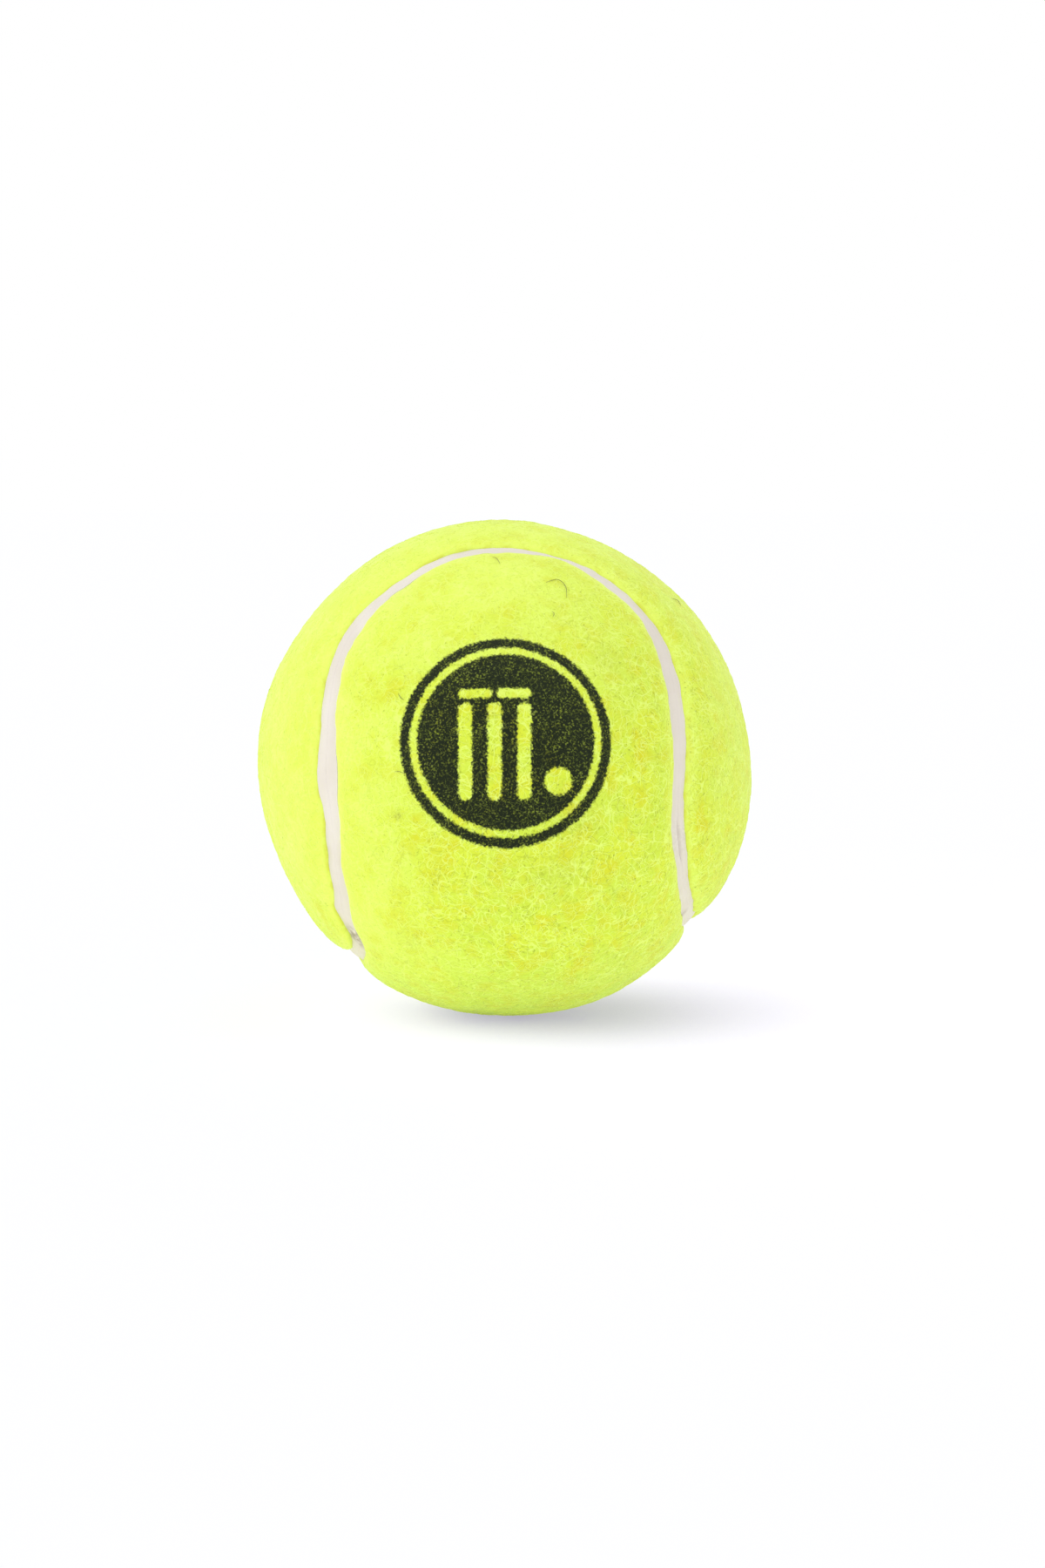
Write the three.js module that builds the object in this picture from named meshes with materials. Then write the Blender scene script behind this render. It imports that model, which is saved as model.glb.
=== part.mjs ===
// Tennis cricket ball. A hollow rubber core of two moulded half shells, joined by a ring of
// rubber cement, is covered by two dog-bone panels of needle felt. The panels are cut alike and
// interlock, each bonded to the core by its own skin of cement. The cut edge of each panel
// carries a white rubber coat, and the two coats meet in the sunk seam that runs round the ball.
import * as THREE from 'three';
import { mergeVertices } from 'three/addons/utils/BufferGeometryUtils.js';

// Driving dimensions in millimetres
const ballDiameter = 66;
const feltThickness = 3;
const cementThickness = 0.3;
const coreWall = 4.6;
const rimCementThickness = 0.4;
const beadWidth = 1.8;
const beadDepth = 0.7;
const seamWidth = 2.6;
const seamDepth = 1.2;
const seamCrown = 0.2;
const hairlineWidth = 0.06;
const shoulderWidth = 4.6;
const bondClearance = 0.05;

// Driving angles in degrees
const lobeTipAngle = 46.5;
const lieBackAngle = 23.2;
const lieRollAngle = 2.6;
const lieHeadingAngle = 135.7;

// Lengths of the flat facets that the curved surfaces are made of, in millimetres
const seamFacet = 3.05;
const fieldFacet = 5.8;
const shoulderFacet = 1.15;
const shellFacet = 4.6;
const beadFacet = 0.7;

// Numbers of facets. A panel is about an eighth of a turn wide each side of its centre line, and
// the seam is about four half circles of that radius long, each with a middle facet corner.
const quarter = Math.PI / 2;
const ballRadius = ballDiameter / 2;
const seamLength = 4 * Math.PI * Math.sin(quarter / 2) * ballRadius;
const seamSteps = 8 * facetCount(seamLength / 8, seamFacet);
const fieldBands = facetCount(ballRadius * quarter / 2, fieldFacet);
const shoulderBands = facetCount(shoulderWidth, shoulderFacet);

// Radii of the layers, from the felt's nap inwards
const seamRadius = ballRadius - seamDepth;
const feltSeatRadius = ballRadius - feltThickness;
const cementTopRadius = feltSeatRadius - bondClearance;
const cementSeatRadius = cementTopRadius - cementThickness;
const coreRadius = cementSeatRadius - facetSag(cementSeatRadius) - bondClearance;
const boreRadius = coreRadius - coreWall;
const shellSegments = 4 * facetCount(coreRadius * quarter, shellFacet);
const shellBands = facetCount(coreRadius * quarter, shellFacet);
const beadSteps = 2 * facetCount(quarter * beadWidth / 2, beadFacet);

// Edges of the seam, as distances from its centre line over the ball's surface
const hairlineEdge = hairlineWidth / 2;
const panelEdge = seamWidth / 2;
const coatEdge = panelEdge - bondClearance;

// A lobe's rounded end is a circle on the sphere. Its centre stands this far past the equator,
// and the circle passes through two neighbouring crossings of the seam with the equator.
const tipAngle = THREE.MathUtils.degToRad(lobeTipAngle);
const lobeCentreAngle = solveLobeCentre(tipAngle);
const lobeRadiusAngle = tipAngle - lobeCentreAngle;

// The panel's centre line, by angle from the middle of its waist: where the sides of the waist
// end on it, and where the rounded end of the lobe closes on it
const waistLineEnd = quarter - tipAngle / 6;
const lobeLineEnd = quarter + lobeCentreAngle + tipAngle / 6;

// Number of facets, at least two, that fill a length
function facetCount(length, facet) {
  return Math.max(2, Math.round(length / facet));
}

// How far a flat facet of a skin dips below the sphere that its corners lie on
function facetSag(radius) {
  const acrossBand = quarter / 2 / fieldBands;
  const alongSeam = seamLength / ballRadius / seamSteps;
  const halfDiagonal = Math.hypot(acrossBand, alongSeam) / 2;
  return radius * (1 - Math.cos(halfDiagonal));
}

// Finds the lobe centre's angle past the equator by halving the interval that holds it
function solveLobeCentre(tip) {
  let low = 0;
  let high = tip;
  for (let step = 0; step < 50; step += 1) {
    const middle = (low + high) / 2;
    const reach = middle + Math.acos(Math.SQRT1_2 * Math.cos(middle));
    if (reach < tip) low = middle;
    else high = middle;
  }
  return (low + high) / 2;
}

// Unit vector at a heading round the equator and an angle above it
function direction(heading, above) {
  const level = Math.cos(above);
  return new THREE.Vector3(level * Math.cos(heading), level * Math.sin(heading), Math.sin(above));
}

// Unit tangent of the sphere at one place, pointing towards another
function tangentTowards(place, target) {
  return target.clone().addScaledVector(place, -target.dot(place)).normalize();
}

// One station of the seam: its place on the unit sphere, the direction from there across the
// surface towards the lower panel, and the point of that panel's centre line that faces it. The
// seam is four arcs: lobe ends of the lower panel, above the equator, and the sides of its waist.
function seamStation(index) {
  const stepsPerArc = seamSteps / 4;
  const arc = Math.floor(index / stepsPerArc);
  const share = (index % stepsPerArc) / stepsPerArc;
  const side = arc % 2 === 0 ? 1 : -1;
  const centre = direction((arc + 0.5) * quarter, side * lobeCentreAngle);
  const tip = direction((arc + 0.5) * quarter, side * tipAngle);
  const start = tangentTowards(centre, direction(arc * quarter, 0));
  const across = new THREE.Vector3().crossVectors(start, centre).multiplyScalar(side);
  const sweep = 2 * start.angleTo(tangentTowards(centre, tip)) * share;
  const outward = start.multiplyScalar(Math.cos(sweep)).addScaledVector(across, Math.sin(sweep));
  const place = centre.clone().multiplyScalar(Math.cos(lobeRadiusAngle))
    .addScaledVector(outward, Math.sin(lobeRadiusAngle));
  return {
    place,
    towardsPanel: tangentTowards(place, centre).multiplyScalar(side),
    facing: centreLinePoint(arc, share),
  };
}

// Point of the lower panel's centre line that a station is lofted to. The line runs from lobe
// to lobe under the ball, and ends just past each lobe's centre, where the rounded end closes.
function centreLinePoint(arc, share) {
  const fromMiddle = Math.abs(2 * share - 1);
  const roundedEnd = lobeLineEnd + (waistLineEnd - lobeLineEnd) * fromMiddle;
  const alongWaist = waistLineEnd * (1 - 2 * share);
  const towardsFirstLobe = arc < 2 ? 1 : -1;
  const angle = towardsFirstLobe * (arc % 2 === 0 ? roundedEnd : alongWaist);
  return direction(quarter / 2, 0).multiplyScalar(Math.sin(angle))
    .add(new THREE.Vector3(0, 0, -Math.cos(angle)));
}

const seamStations = Array.from({ length: seamSteps }, (unused, index) => seamStation(index));

// Direction that lies a distance away from the seam, measured over the ball's surface
function besideSeam(station, distance) {
  const angle = distance / ballRadius;
  return station.place.clone().multiplyScalar(Math.cos(angle))
    .addScaledVector(station.towardsPanel, Math.sin(angle));
}

// Direction at a share of the great-circle way between two unit vectors
function between(from, to, share) {
  const angle = from.angleTo(to);
  const fromPart = Math.sin((1 - share) * angle) / Math.sin(angle);
  const toPart = Math.sin(share * angle) / Math.sin(angle);
  return from.clone().multiplyScalar(fromPart).addScaledVector(to, toPart);
}

// Rings of one skin, from a ring near the panel's edge to its centre line, all at one radius
function fieldRings(edgeDistance, radius, bands) {
  const rings = [];
  for (let band = 0; band <= bands; band += 1) {
    rings.push(seamStations.map((station) => {
      const edge = besideSeam(station, edgeDistance);
      return between(edge, station.facing, band / bands).multiplyScalar(radius);
    }));
  }
  return rings;
}

// One ring at a fixed distance from the seam
function edgeRing(distance, radius) {
  return seamStations.map((station) => besideSeam(station, distance).multiplyScalar(radius));
}

// Rings of the felt's rounded shoulder, from the seam's floor up to the full radius
function shoulderRings() {
  const rings = [];
  for (let band = 0; band < shoulderBands; band += 1) {
    const share = (band / shoulderBands) ** 1.5;
    const drop = seamDepth * (1 - Math.sqrt(1 - (1 - share) ** 2));
    rings.push(edgeRing(panelEdge + shoulderWidth * share, ballRadius - drop));
  }
  return rings;
}

// Closed geometry lofted through rings of equal length. Open stacks begin and end on the
// panel's centre line, where the two halves of the ring fall together and close the skin.
function loft(rings, stackCloses) {
  const positions = rings.flat().flatMap((point) => point.toArray());
  const steps = rings[0].length;
  const indices = [];
  const bands = stackCloses ? rings.length : rings.length - 1;
  for (let band = 0; band < bands; band += 1) {
    const here = band * steps;
    const next = ((band + 1) % rings.length) * steps;
    for (let step = 0; step < steps; step += 1) {
      const ahead = (step + 1) % steps;
      indices.push(here + step, next + step, next + ahead);
      indices.push(here + step, next + ahead, here + ahead);
    }
  }
  const geometry = new THREE.BufferGeometry();
  geometry.setAttribute('position', new THREE.Float32BufferAttribute(positions, 3));
  geometry.setIndex(indices);
  const welded = mergeVertices(geometry);
  welded.computeVertexNormals();
  return welded;
}

// Felt panel: the inner face on the cement, the cut edge, the shoulder and the outer face
function feltPanelGeometry() {
  const innerFace = fieldRings(panelEdge, feltSeatRadius, fieldBands).reverse();
  const outerFace = fieldRings(panelEdge + shoulderWidth, ballRadius, fieldBands);
  return loft([...innerFace, ...shoulderRings(), ...outerFace], false);
}

// Skin of cement under a panel, of the panel's own outline
function panelCementGeometry() {
  const coreFace = fieldRings(panelEdge, cementSeatRadius, fieldBands).reverse();
  const feltFace = fieldRings(panelEdge, cementTopRadius, fieldBands);
  return loft([...coreFace, ...feltFace], false);
}

// Rubber coat on a panel's cut edge, half of the seam's width with a slightly crowned top
function edgeCoatGeometry() {
  const crownDistance = (hairlineEdge + coatEdge) / 2;
  return loft([
    edgeRing(hairlineEdge, cementSeatRadius),
    edgeRing(hairlineEdge, seamRadius),
    edgeRing(crownDistance, seamRadius + seamCrown),
    edgeRing(coatEdge, seamRadius),
    edgeRing(coatEdge, cementSeatRadius),
  ], true);
}

// Profile point of a revolved piece: distance from the axis, and height
function profilePoint(radius, angle) {
  return new THREE.Vector2(radius * Math.cos(angle), radius * Math.sin(angle));
}

// Revolved geometry about the vertical axis
function revolve(profile) {
  return new THREE.LatheGeometry(profile, shellSegments).rotateX(quarter);
}

// Moulded half shell with a flat ground rim, open side down
function halfShellGeometry() {
  const rimHeight = rimCementThickness / 2 + bondClearance;
  const outerRim = Math.asin(rimHeight / coreRadius);
  const innerRim = Math.asin(rimHeight / boreRadius);
  const profile = [];
  for (let band = 0; band <= shellBands; band += 1) {
    const share = band / shellBands;
    profile.push(profilePoint(boreRadius, quarter + (innerRim - quarter) * share));
  }
  for (let band = 0; band <= shellBands; band += 1) {
    const share = band / shellBands;
    profile.push(profilePoint(coreRadius, outerRim + (quarter - outerRim) * share));
  }
  profile[0].x = 0;
  profile[profile.length - 1].x = 0;
  return revolve(profile);
}

// Ring of cement between the two rims, with the bead that squeezes out inside the core
function rimCementGeometry() {
  const halfThickness = rimCementThickness / 2;
  const beadHalf = beadWidth / 2;
  const beadBack = Math.sqrt(boreRadius ** 2 - beadHalf ** 2) - bondClearance;
  const outerEdge = Math.sqrt(coreRadius ** 2 - halfThickness ** 2);
  const profile = [
    new THREE.Vector2(outerEdge, -halfThickness),
    new THREE.Vector2(outerEdge, halfThickness),
    new THREE.Vector2(beadBack, halfThickness),
  ];
  for (let step = 0; step <= beadSteps; step += 1) {
    const turn = Math.PI * step / beadSteps;
    const inset = beadDepth * Math.sin(turn);
    profile.push(new THREE.Vector2(beadBack - inset, beadHalf * Math.cos(turn)));
  }
  profile.push(new THREE.Vector2(beadBack, -halfThickness));
  profile.push(profile[0].clone());
  return revolve(profile);
}

const feltMaterial = new THREE.MeshStandardMaterial({ color: '#dcf53f', roughness: 0.95, metalness: 0 });
const coatMaterial = new THREE.MeshStandardMaterial({ color: '#efe5e1', roughness: 0.6, metalness: 0 });
const cementMaterial = new THREE.MeshStandardMaterial({ color: '#cdbf9f', roughness: 0.55, metalness: 0 });
const coreMaterial = new THREE.MeshStandardMaterial({ color: '#4b4a48', roughness: 0.75, metalness: 0 });

// A named piece of the ball
function piece(name, geometry, material) {
  const mesh = new THREE.Mesh(geometry, material.clone());
  mesh.name = name;
  return mesh;
}

// The core stands with its joint on the seam's own equator
function makeCore() {
  const core = new THREE.Group();
  const upperShell = piece('core_shell_upper', halfShellGeometry(), coreMaterial);
  const lowerShell = piece('core_shell_lower', halfShellGeometry(), coreMaterial);
  lowerShell.rotation.x = Math.PI;
  core.add(upperShell, lowerShell, piece('core_rim_cement', rimCementGeometry(), cementMaterial));
  return core;
}

// One panel with its cement and its edge coat, as it lies with its waist under the ball
function makeCover(name) {
  const cover = new THREE.Group();
  cover.add(piece(`panel_cement_${name}`, panelCementGeometry(), cementMaterial));
  cover.add(piece(`felt_panel_${name}`, feltPanelGeometry(), feltMaterial));
  cover.add(piece(`edge_coat_${name}`, edgeCoatGeometry(), coatMaterial));
  return cover;
}

// The upper cover is the same as the lower, turned half round on a line through two crossings
// of the seam with the equator, so that its lobes fill the lower panel's waist.
function makeBall() {
  const ball = new THREE.Group();
  const lowerCover = makeCover('lower');
  const upperCover = makeCover('upper');
  upperCover.rotation.x = Math.PI;
  ball.add(makeCore(), lowerCover, upperCover);
  ball.rotation.set(
    THREE.MathUtils.degToRad(-lieBackAngle),
    THREE.MathUtils.degToRad(-lieRollAngle),
    THREE.MathUtils.degToRad(-lieHeadingAngle),
  );
  return ball;
}

const tennisCricketBall = new THREE.Group();
tennisCricketBall.add(makeBall());

export default tennisCricketBall;
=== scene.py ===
"""Tennis cricket ball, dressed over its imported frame.

A hollow rubber core is covered by two interlocking dog-bone panels of fluorescent needle felt.
The white rubber coats on the panels' cut edges meet in the sunk seam. All of the shapes are
worked out in millimetres, in the part's own frame, and become metres when a mesh is made.
"""

from __future__ import annotations

import logging
import math
from collections.abc import Iterator
from dataclasses import dataclass, field, replace
from enum import Enum

import bpy
import numpy as np
from mathutils import Matrix, Vector

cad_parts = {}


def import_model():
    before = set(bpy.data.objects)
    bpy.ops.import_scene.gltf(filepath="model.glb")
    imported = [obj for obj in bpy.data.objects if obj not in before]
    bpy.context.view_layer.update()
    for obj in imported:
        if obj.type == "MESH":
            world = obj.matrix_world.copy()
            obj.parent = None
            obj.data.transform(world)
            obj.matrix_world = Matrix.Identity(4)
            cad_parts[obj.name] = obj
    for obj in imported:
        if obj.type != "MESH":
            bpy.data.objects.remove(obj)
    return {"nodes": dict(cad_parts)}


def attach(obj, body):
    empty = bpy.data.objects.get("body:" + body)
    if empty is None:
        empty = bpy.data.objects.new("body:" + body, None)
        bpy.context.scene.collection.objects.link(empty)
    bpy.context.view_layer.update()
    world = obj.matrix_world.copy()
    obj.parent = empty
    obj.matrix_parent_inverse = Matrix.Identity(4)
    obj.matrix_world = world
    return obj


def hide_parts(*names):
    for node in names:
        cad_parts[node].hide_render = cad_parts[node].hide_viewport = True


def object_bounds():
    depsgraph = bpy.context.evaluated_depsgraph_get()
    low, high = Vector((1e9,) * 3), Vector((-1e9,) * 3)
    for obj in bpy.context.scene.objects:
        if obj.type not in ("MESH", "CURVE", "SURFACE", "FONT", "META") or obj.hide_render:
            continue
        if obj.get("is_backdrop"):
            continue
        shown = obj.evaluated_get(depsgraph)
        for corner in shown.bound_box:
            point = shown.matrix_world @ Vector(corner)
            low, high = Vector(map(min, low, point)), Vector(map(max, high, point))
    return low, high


METRES_PER_MM = 0.001
QUARTER = math.pi / 2
TINY = 1e-9
ROWS_AT_ONCE = 4096
BODY = "root"
BAKE_MAP = "OFBake"

Colour = tuple[float, float, float]
Pixel = tuple[float, float]
Place = tuple[float, float, float]
Span = tuple[float, float]
Socket = bpy.types.NodeSocket
NodeInputs = dict[str | int, object]

log = logging.getLogger("ball")


class Side(Enum):
    """The two covers. The lower one passes under the ball, and the upper one over it."""

    LOWER = "lower"
    UPPER = "upper"

    @property
    def sign(self) -> float:
        """One for the lower cover, and minus one for the upper."""
        return 1.0 if self is Side.LOWER else -1.0


class Attribute(Enum):
    """Values that meshes carry to their materials."""

    SEAM_DISTANCE = "seam_distance"
    INK_DISTANCE = "ink_distance"
    PIT = "pit"
    # Also carries painted light: paler felt where the ball is lit.
    SMOOTH = "smooth"
    TONE = "tone"
    OPENING = "opening"


# Geometry on the sphere


def unit(vectors: np.ndarray) -> np.ndarray:
    """Vectors scaled to a length of one."""
    return vectors / np.linalg.norm(vectors, axis=-1, keepdims=True)


def heading_direction(heading: np.ndarray, above: np.ndarray) -> np.ndarray:
    """Unit vectors at headings round the equator and angles above it, both in radians."""
    level = np.cos(above)
    return np.stack([level * np.cos(heading), level * np.sin(heading), np.sin(above)], axis=-1)


def tangent(place: np.ndarray, target: np.ndarray) -> np.ndarray:
    """Unit tangents of the sphere at places on it, pointing towards targets."""
    return unit(target - place * (target * place).sum(-1, keepdims=True))


def turn_between(first: np.ndarray, second: np.ndarray) -> np.ndarray:
    """Angles between unit vectors, in radians."""
    return np.arccos(np.clip((first * second).sum(-1), -1.0, 1.0))


def along_arc(start: np.ndarray, end: np.ndarray, share: float) -> np.ndarray:
    """Unit vectors at a share of the great-circle way from starts to ends."""
    turn = turn_between(start, end)[..., None]
    return (np.sin((1 - share) * turn) * start + np.sin(share * turn) * end) / np.sin(turn)


def smooth_step(value: np.ndarray, low: float, high: float) -> np.ndarray:
    """Rises smoothly from 0 at low to 1 at high."""
    share = np.clip((value - low) / (high - low), 0.0, 1.0)
    return share * share * (3 - 2 * share)


def bell(distance: np.ndarray, reach: float) -> np.ndarray:
    """A bell curve of distance, 1 in the middle and about a third at the reach."""
    return np.exp(-((distance / reach) ** 2))


@dataclass(frozen=True)
class RandomField:
    """A smooth random field in space: a sum of plane waves of about one wavelength.

    Attributes:
        wavelength: Mean wavelength in millimetres.
        seed: Seed of the draws.
        amount: The field's deviation from its mean of 0.
        waves: How many waves are added.
        lengths: The shortest and the longest wave, as shares of the wavelength.
    """

    wavelength: float
    seed: int
    amount: float = 1.0
    waves: int = 36
    lengths: Span = (0.75, 1.35)

    def at(self, points: np.ndarray) -> np.ndarray:
        """Evaluates the field.

        Args:
            points: Places in millimetres, on the last axis.

        Returns:
            The field at each place.
        """
        draw = np.random.default_rng(self.seed)
        heading = unit(draw.normal(size=(self.waves, 3)))
        length = self.wavelength * draw.uniform(*self.lengths, size=(self.waves, 1))
        phase = draw.uniform(0, 2 * math.pi, self.waves)
        waves = np.cos(points @ (2 * math.pi * heading / length).T + phase)
        return self.amount * (waves.sum(-1) * math.sqrt(2 / self.waves))


@dataclass(frozen=True)
class Patches:
    """Soft-edged patches where a random field is high.

    Attributes:
        source: The random field.
        rise: Values of the field at which a patch starts and is whole.
        share: How strong it is where it is whole.
    """

    source: RandomField
    rise: Span
    share: float = 1.0

    def at(self, points: np.ndarray) -> np.ndarray:
        """Strength of the patches at places in millimetres."""
        return self.share * smooth_step(self.source.at(points), *self.rise)


# The photograph's view


@dataclass(frozen=True)
class PhotoView:
    """Where the camera stands, from the ball's outline in the photograph.

    Attributes:
        ball_radius: The ball's radius in millimetres.
        width: Picture width in pixels.
        height: Picture height in pixels.
        ball_centre: Pixel of the outline's centre.
        outline_radius: Radius of the outline in pixels.
        distance_in_radii: Distance of the camera in ball radii.
        elevation_degrees: How far the camera looks down.
        sensor_height: Height of the camera's sensor in its own millimetres.
        nearest_seen: Nearest distance that the camera sees, in metres.
    """

    ball_radius: float
    width: int = 1200
    height: int = 1800
    ball_centre: Pixel = (578.5, 882.9)
    outline_radius: float = 282.5
    distance_in_radii: float = 12.7
    elevation_degrees: float = 6.0
    sensor_height: float = 36.0
    nearest_seen: float = 0.01

    @property
    def focal_pixels(self) -> float:
        """Focal length in pixels, which gives the outline its radius."""
        return self.outline_radius * math.sqrt(self.distance_in_radii**2 - 1)

    @property
    def eye(self) -> np.ndarray:
        """The camera's place in millimetres."""
        return np.array(self._level_axes().col[2]) * self.distance_in_radii * self.ball_radius

    def _level_axes(self) -> Matrix:
        """Axes of a camera that looks straight at the ball.

        Returns:
            The axes as columns right, up and back.
        """
        rise = math.radians(self.elevation_degrees)
        right = Vector((1, 0, 0))
        back = Vector((0, -math.cos(rise), math.sin(rise)))
        return Matrix((right, back.cross(right), back)).transposed()

    def _pixel_ray(self, pixel: Pixel) -> Vector:
        """Direction of a pixel's ray.

        Args:
            pixel: Place in the photograph.

        Returns:
            Unit vector in the camera's own axes.
        """
        across = (pixel[0] - self.width / 2) / self.focal_pixels
        up = (self.height / 2 - pixel[1]) / self.focal_pixels
        return Vector((across, up, -1)).normalized()

    def axes(self) -> Matrix:
        """Axes of the camera, turned so that the ball lands on its pixel."""
        aim = self._pixel_ray(self.ball_centre).rotation_difference(Vector((0, 0, -1)))
        return self._level_axes() @ aim.to_matrix()

    def direction_at(self, pixel: Pixel) -> np.ndarray:
        """Finds what the photograph shows at a pixel.

        Args:
            pixel: Place in the photograph.

        Returns:
            Unit vector from the ball's centre to the place on it, or to its outline.
        """
        ray = np.array(self.axes() @ self._pixel_ray(pixel))
        nearest = -float(self.eye @ ray)
        inside = nearest**2 - float(self.eye @ self.eye) + self.ball_radius**2
        return unit(self.eye + ray * (nearest - math.sqrt(max(inside, 0.0))))

    def place_camera(self) -> None:
        """Adds the camera and makes it the scene's own."""
        data = bpy.data.cameras.new("photo_camera")
        data.sensor_fit = "VERTICAL"
        data.sensor_height = self.sensor_height
        data.lens = self.focal_pixels * self.sensor_height / self.height
        data.clip_start = self.nearest_seen
        camera = add_object(data.name, data)
        place = Vector(self.eye * METRES_PER_MM)
        camera.matrix_world = Matrix.LocRotScale(place, self.axes().to_quaternion(), None)
        bpy.context.scene.camera = camera


# The seam


@dataclass(frozen=True)
class SeamStations:
    """Stations round one panel, in the part's frame.

    Attributes:
        place: Unit vectors to the seam's ideal centre line.
        towards: Unit tangents from there towards the panel.
        facing: Points of the panel's centre line that the stations face.
    """

    place: np.ndarray
    towards: np.ndarray
    facing: np.ndarray

    def beside(self, distance: np.ndarray, ball_radius: float) -> np.ndarray:
        """Unit vectors that lie distances away from the seam, in millimetres over the ball."""
        turn = (distance / ball_radius)[..., None]
        return self.place * np.cos(turn) + self.towards * np.sin(turn)


@dataclass(frozen=True)
class SeamCurve:
    """The seam's curve: four circle arcs on the sphere, and how the ball lies.

    Attributes:
        tip_degrees: Angle of a lobe's tip above the ball's own equator.
        back_degrees: How far the ball is turned back about X.
        roll_degrees: How far it is rolled about Y.
        heading_degrees: How far it is turned about Z.
        count: Stations round the seam, a multiple of 8.
        facing_spread: Share of the tip's angle over which a lobe's stations face the centre line.
    """

    tip_degrees: float = 46.5
    back_degrees: float = 23.2
    roll_degrees: float = 2.6
    heading_degrees: float = 135.7
    count: int = 720
    facing_spread: float = 1 / 6

    def lobe_centre(self) -> float:
        """Angle past the equator of a lobe's centre, which lies as far from its tip as its ends."""
        tip = math.radians(self.tip_degrees)
        return math.atan2(math.cos(QUARTER / 2) - math.cos(tip), math.sin(tip))

    def lie(self) -> np.ndarray:
        """How the ball lies.

        Returns:
            Rotation from the ball's own frame, with its seam about Z, to the part's frame.
        """
        turns = (("X", self.back_degrees), ("Y", self.roll_degrees), ("Z", self.heading_degrees))
        rotation = Matrix.Identity(3)
        for axis, degrees in turns:
            rotation = rotation @ Matrix.Rotation(math.radians(-degrees), 3, axis)
        return np.array(rotation)

    def to_part(self, own: np.ndarray, side: Side) -> np.ndarray:
        """Turns vectors of the frame in which a cover lies like the lower one into the part's."""
        return (own * np.array([1.0, side.sign, side.sign])) @ self.lie().T

    def to_own(self, part: np.ndarray, side: Side) -> np.ndarray:
        """Undoes to_part."""
        return (part @ self.lie()) * np.array([1.0, side.sign, side.sign])

    def stations(self, side: Side) -> SeamStations:
        """Works out the stations of one cover.

        Args:
            side: The cover.

        Returns:
            Its stations, in the part's frame.
        """
        tip, lobe = math.radians(self.tip_degrees), self.lobe_centre()
        index = np.arange(self.count)
        arc, step = np.divmod(index, self.count // 4)
        share = step / (self.count // 4)
        turn = np.where(arc % 2 == 0, 1.0, -1.0)
        centre = heading_direction((arc + 0.5) * QUARTER, turn * lobe)
        arc_tip = heading_direction((arc + 0.5) * QUARTER, turn * tip)
        start = tangent(centre, heading_direction(arc * QUARTER, np.zeros(self.count)))
        across = np.cross(start, centre) * turn[:, None]
        sweep = (2 * turn_between(start, tangent(centre, arc_tip)) * share)[:, None]
        outward = start * np.cos(sweep) + across * np.sin(sweep)
        place = centre * math.cos(tip - lobe) + outward * math.sin(tip - lobe)
        towards = tangent(place, centre) * turn[:, None]
        facing = self._centre_line(arc, share, tip, lobe)
        return SeamStations(*(self.to_part(v, side) for v in (place, towards, facing)))

    def _centre_line(
        self, arc: np.ndarray, share: np.ndarray, tip: float, lobe: float
    ) -> np.ndarray:
        """Points of the panel's centre line that its stations face.

        Args:
            arc: Number of each station's arc.
            share: Share of the arc before the station.
            tip: Angle of the lobes' tips.
            lobe: Angle of the lobes' centres.

        Returns:
            Unit vectors in the cover's own frame.
        """
        spread = tip * self.facing_spread
        waist_end = QUARTER - spread
        lobe_end = QUARTER + lobe + spread
        rounded = lobe_end + (waist_end - lobe_end) * np.abs(2 * share - 1)
        waist = waist_end * (1 - 2 * share)
        angle = np.where(arc < 2, 1.0, -1.0) * np.where(arc % 2 == 0, rounded, waist)
        level = heading_direction(np.full(angle.shape, QUARTER / 2), np.zeros(angle.shape))
        return level * np.sin(angle)[:, None] - np.array([0, 0, 1.0]) * np.cos(angle)[:, None]

    def mirrored(self) -> np.ndarray:
        """Index of the station that faces the same point of the centre line, for each."""
        return (self.count // 4 - np.arange(self.count)) % self.count


@dataclass(frozen=True)
class Spot:
    """A local change, by its place in the photograph.

    Attributes:
        pixel: Its place.
        amount: How much it changes, in millimetres.
        reach: How far it reaches, in millimetres.
    """

    pixel: Pixel
    amount: float
    reach: float


@dataclass(frozen=True)
class Shoulder:
    """How the nap rounds off beside its cut edge, in millimetres.

    Attributes:
        depth: Drop at the cut edge.
        depth_ripple: Its unevenness along the seam.
        reach: How far from the edge the drop is down to about a third.
        reach_ripple: Its unevenness.
        reaches: The least and the most reach.
        rim_depth: Further drop of the outermost fibres.
        rim_reach: How far that one reaches.
    """

    depth: float = 0.82
    depth_ripple: RandomField = RandomField(16, 41, 0.13)
    reach: float = 1.75
    reach_ripple: RandomField = RandomField(12, 42, 0.3)
    reaches: Span = (1.0, 2.6)
    rim_depth: float = 0.25
    rim_reach: float = 0.16

    def drop(self, points: np.ndarray, beside: np.ndarray) -> np.ndarray:
        """How far the nap drops below its full radius.

        Args:
            points: The nearest places of the seam, in millimetres.
            beside: Distances from the cut edge.

        Returns:
            The drop at each place.
        """
        depth = self.depth + self.depth_ripple.at(points)
        reach = np.clip(self.reach + self.reach_ripple.at(points), *self.reaches)
        inside = np.maximum(beside, 0.0)
        return depth * np.exp(-inside / reach) + self.rim_depth * np.exp(-inside / self.rim_reach)


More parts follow.
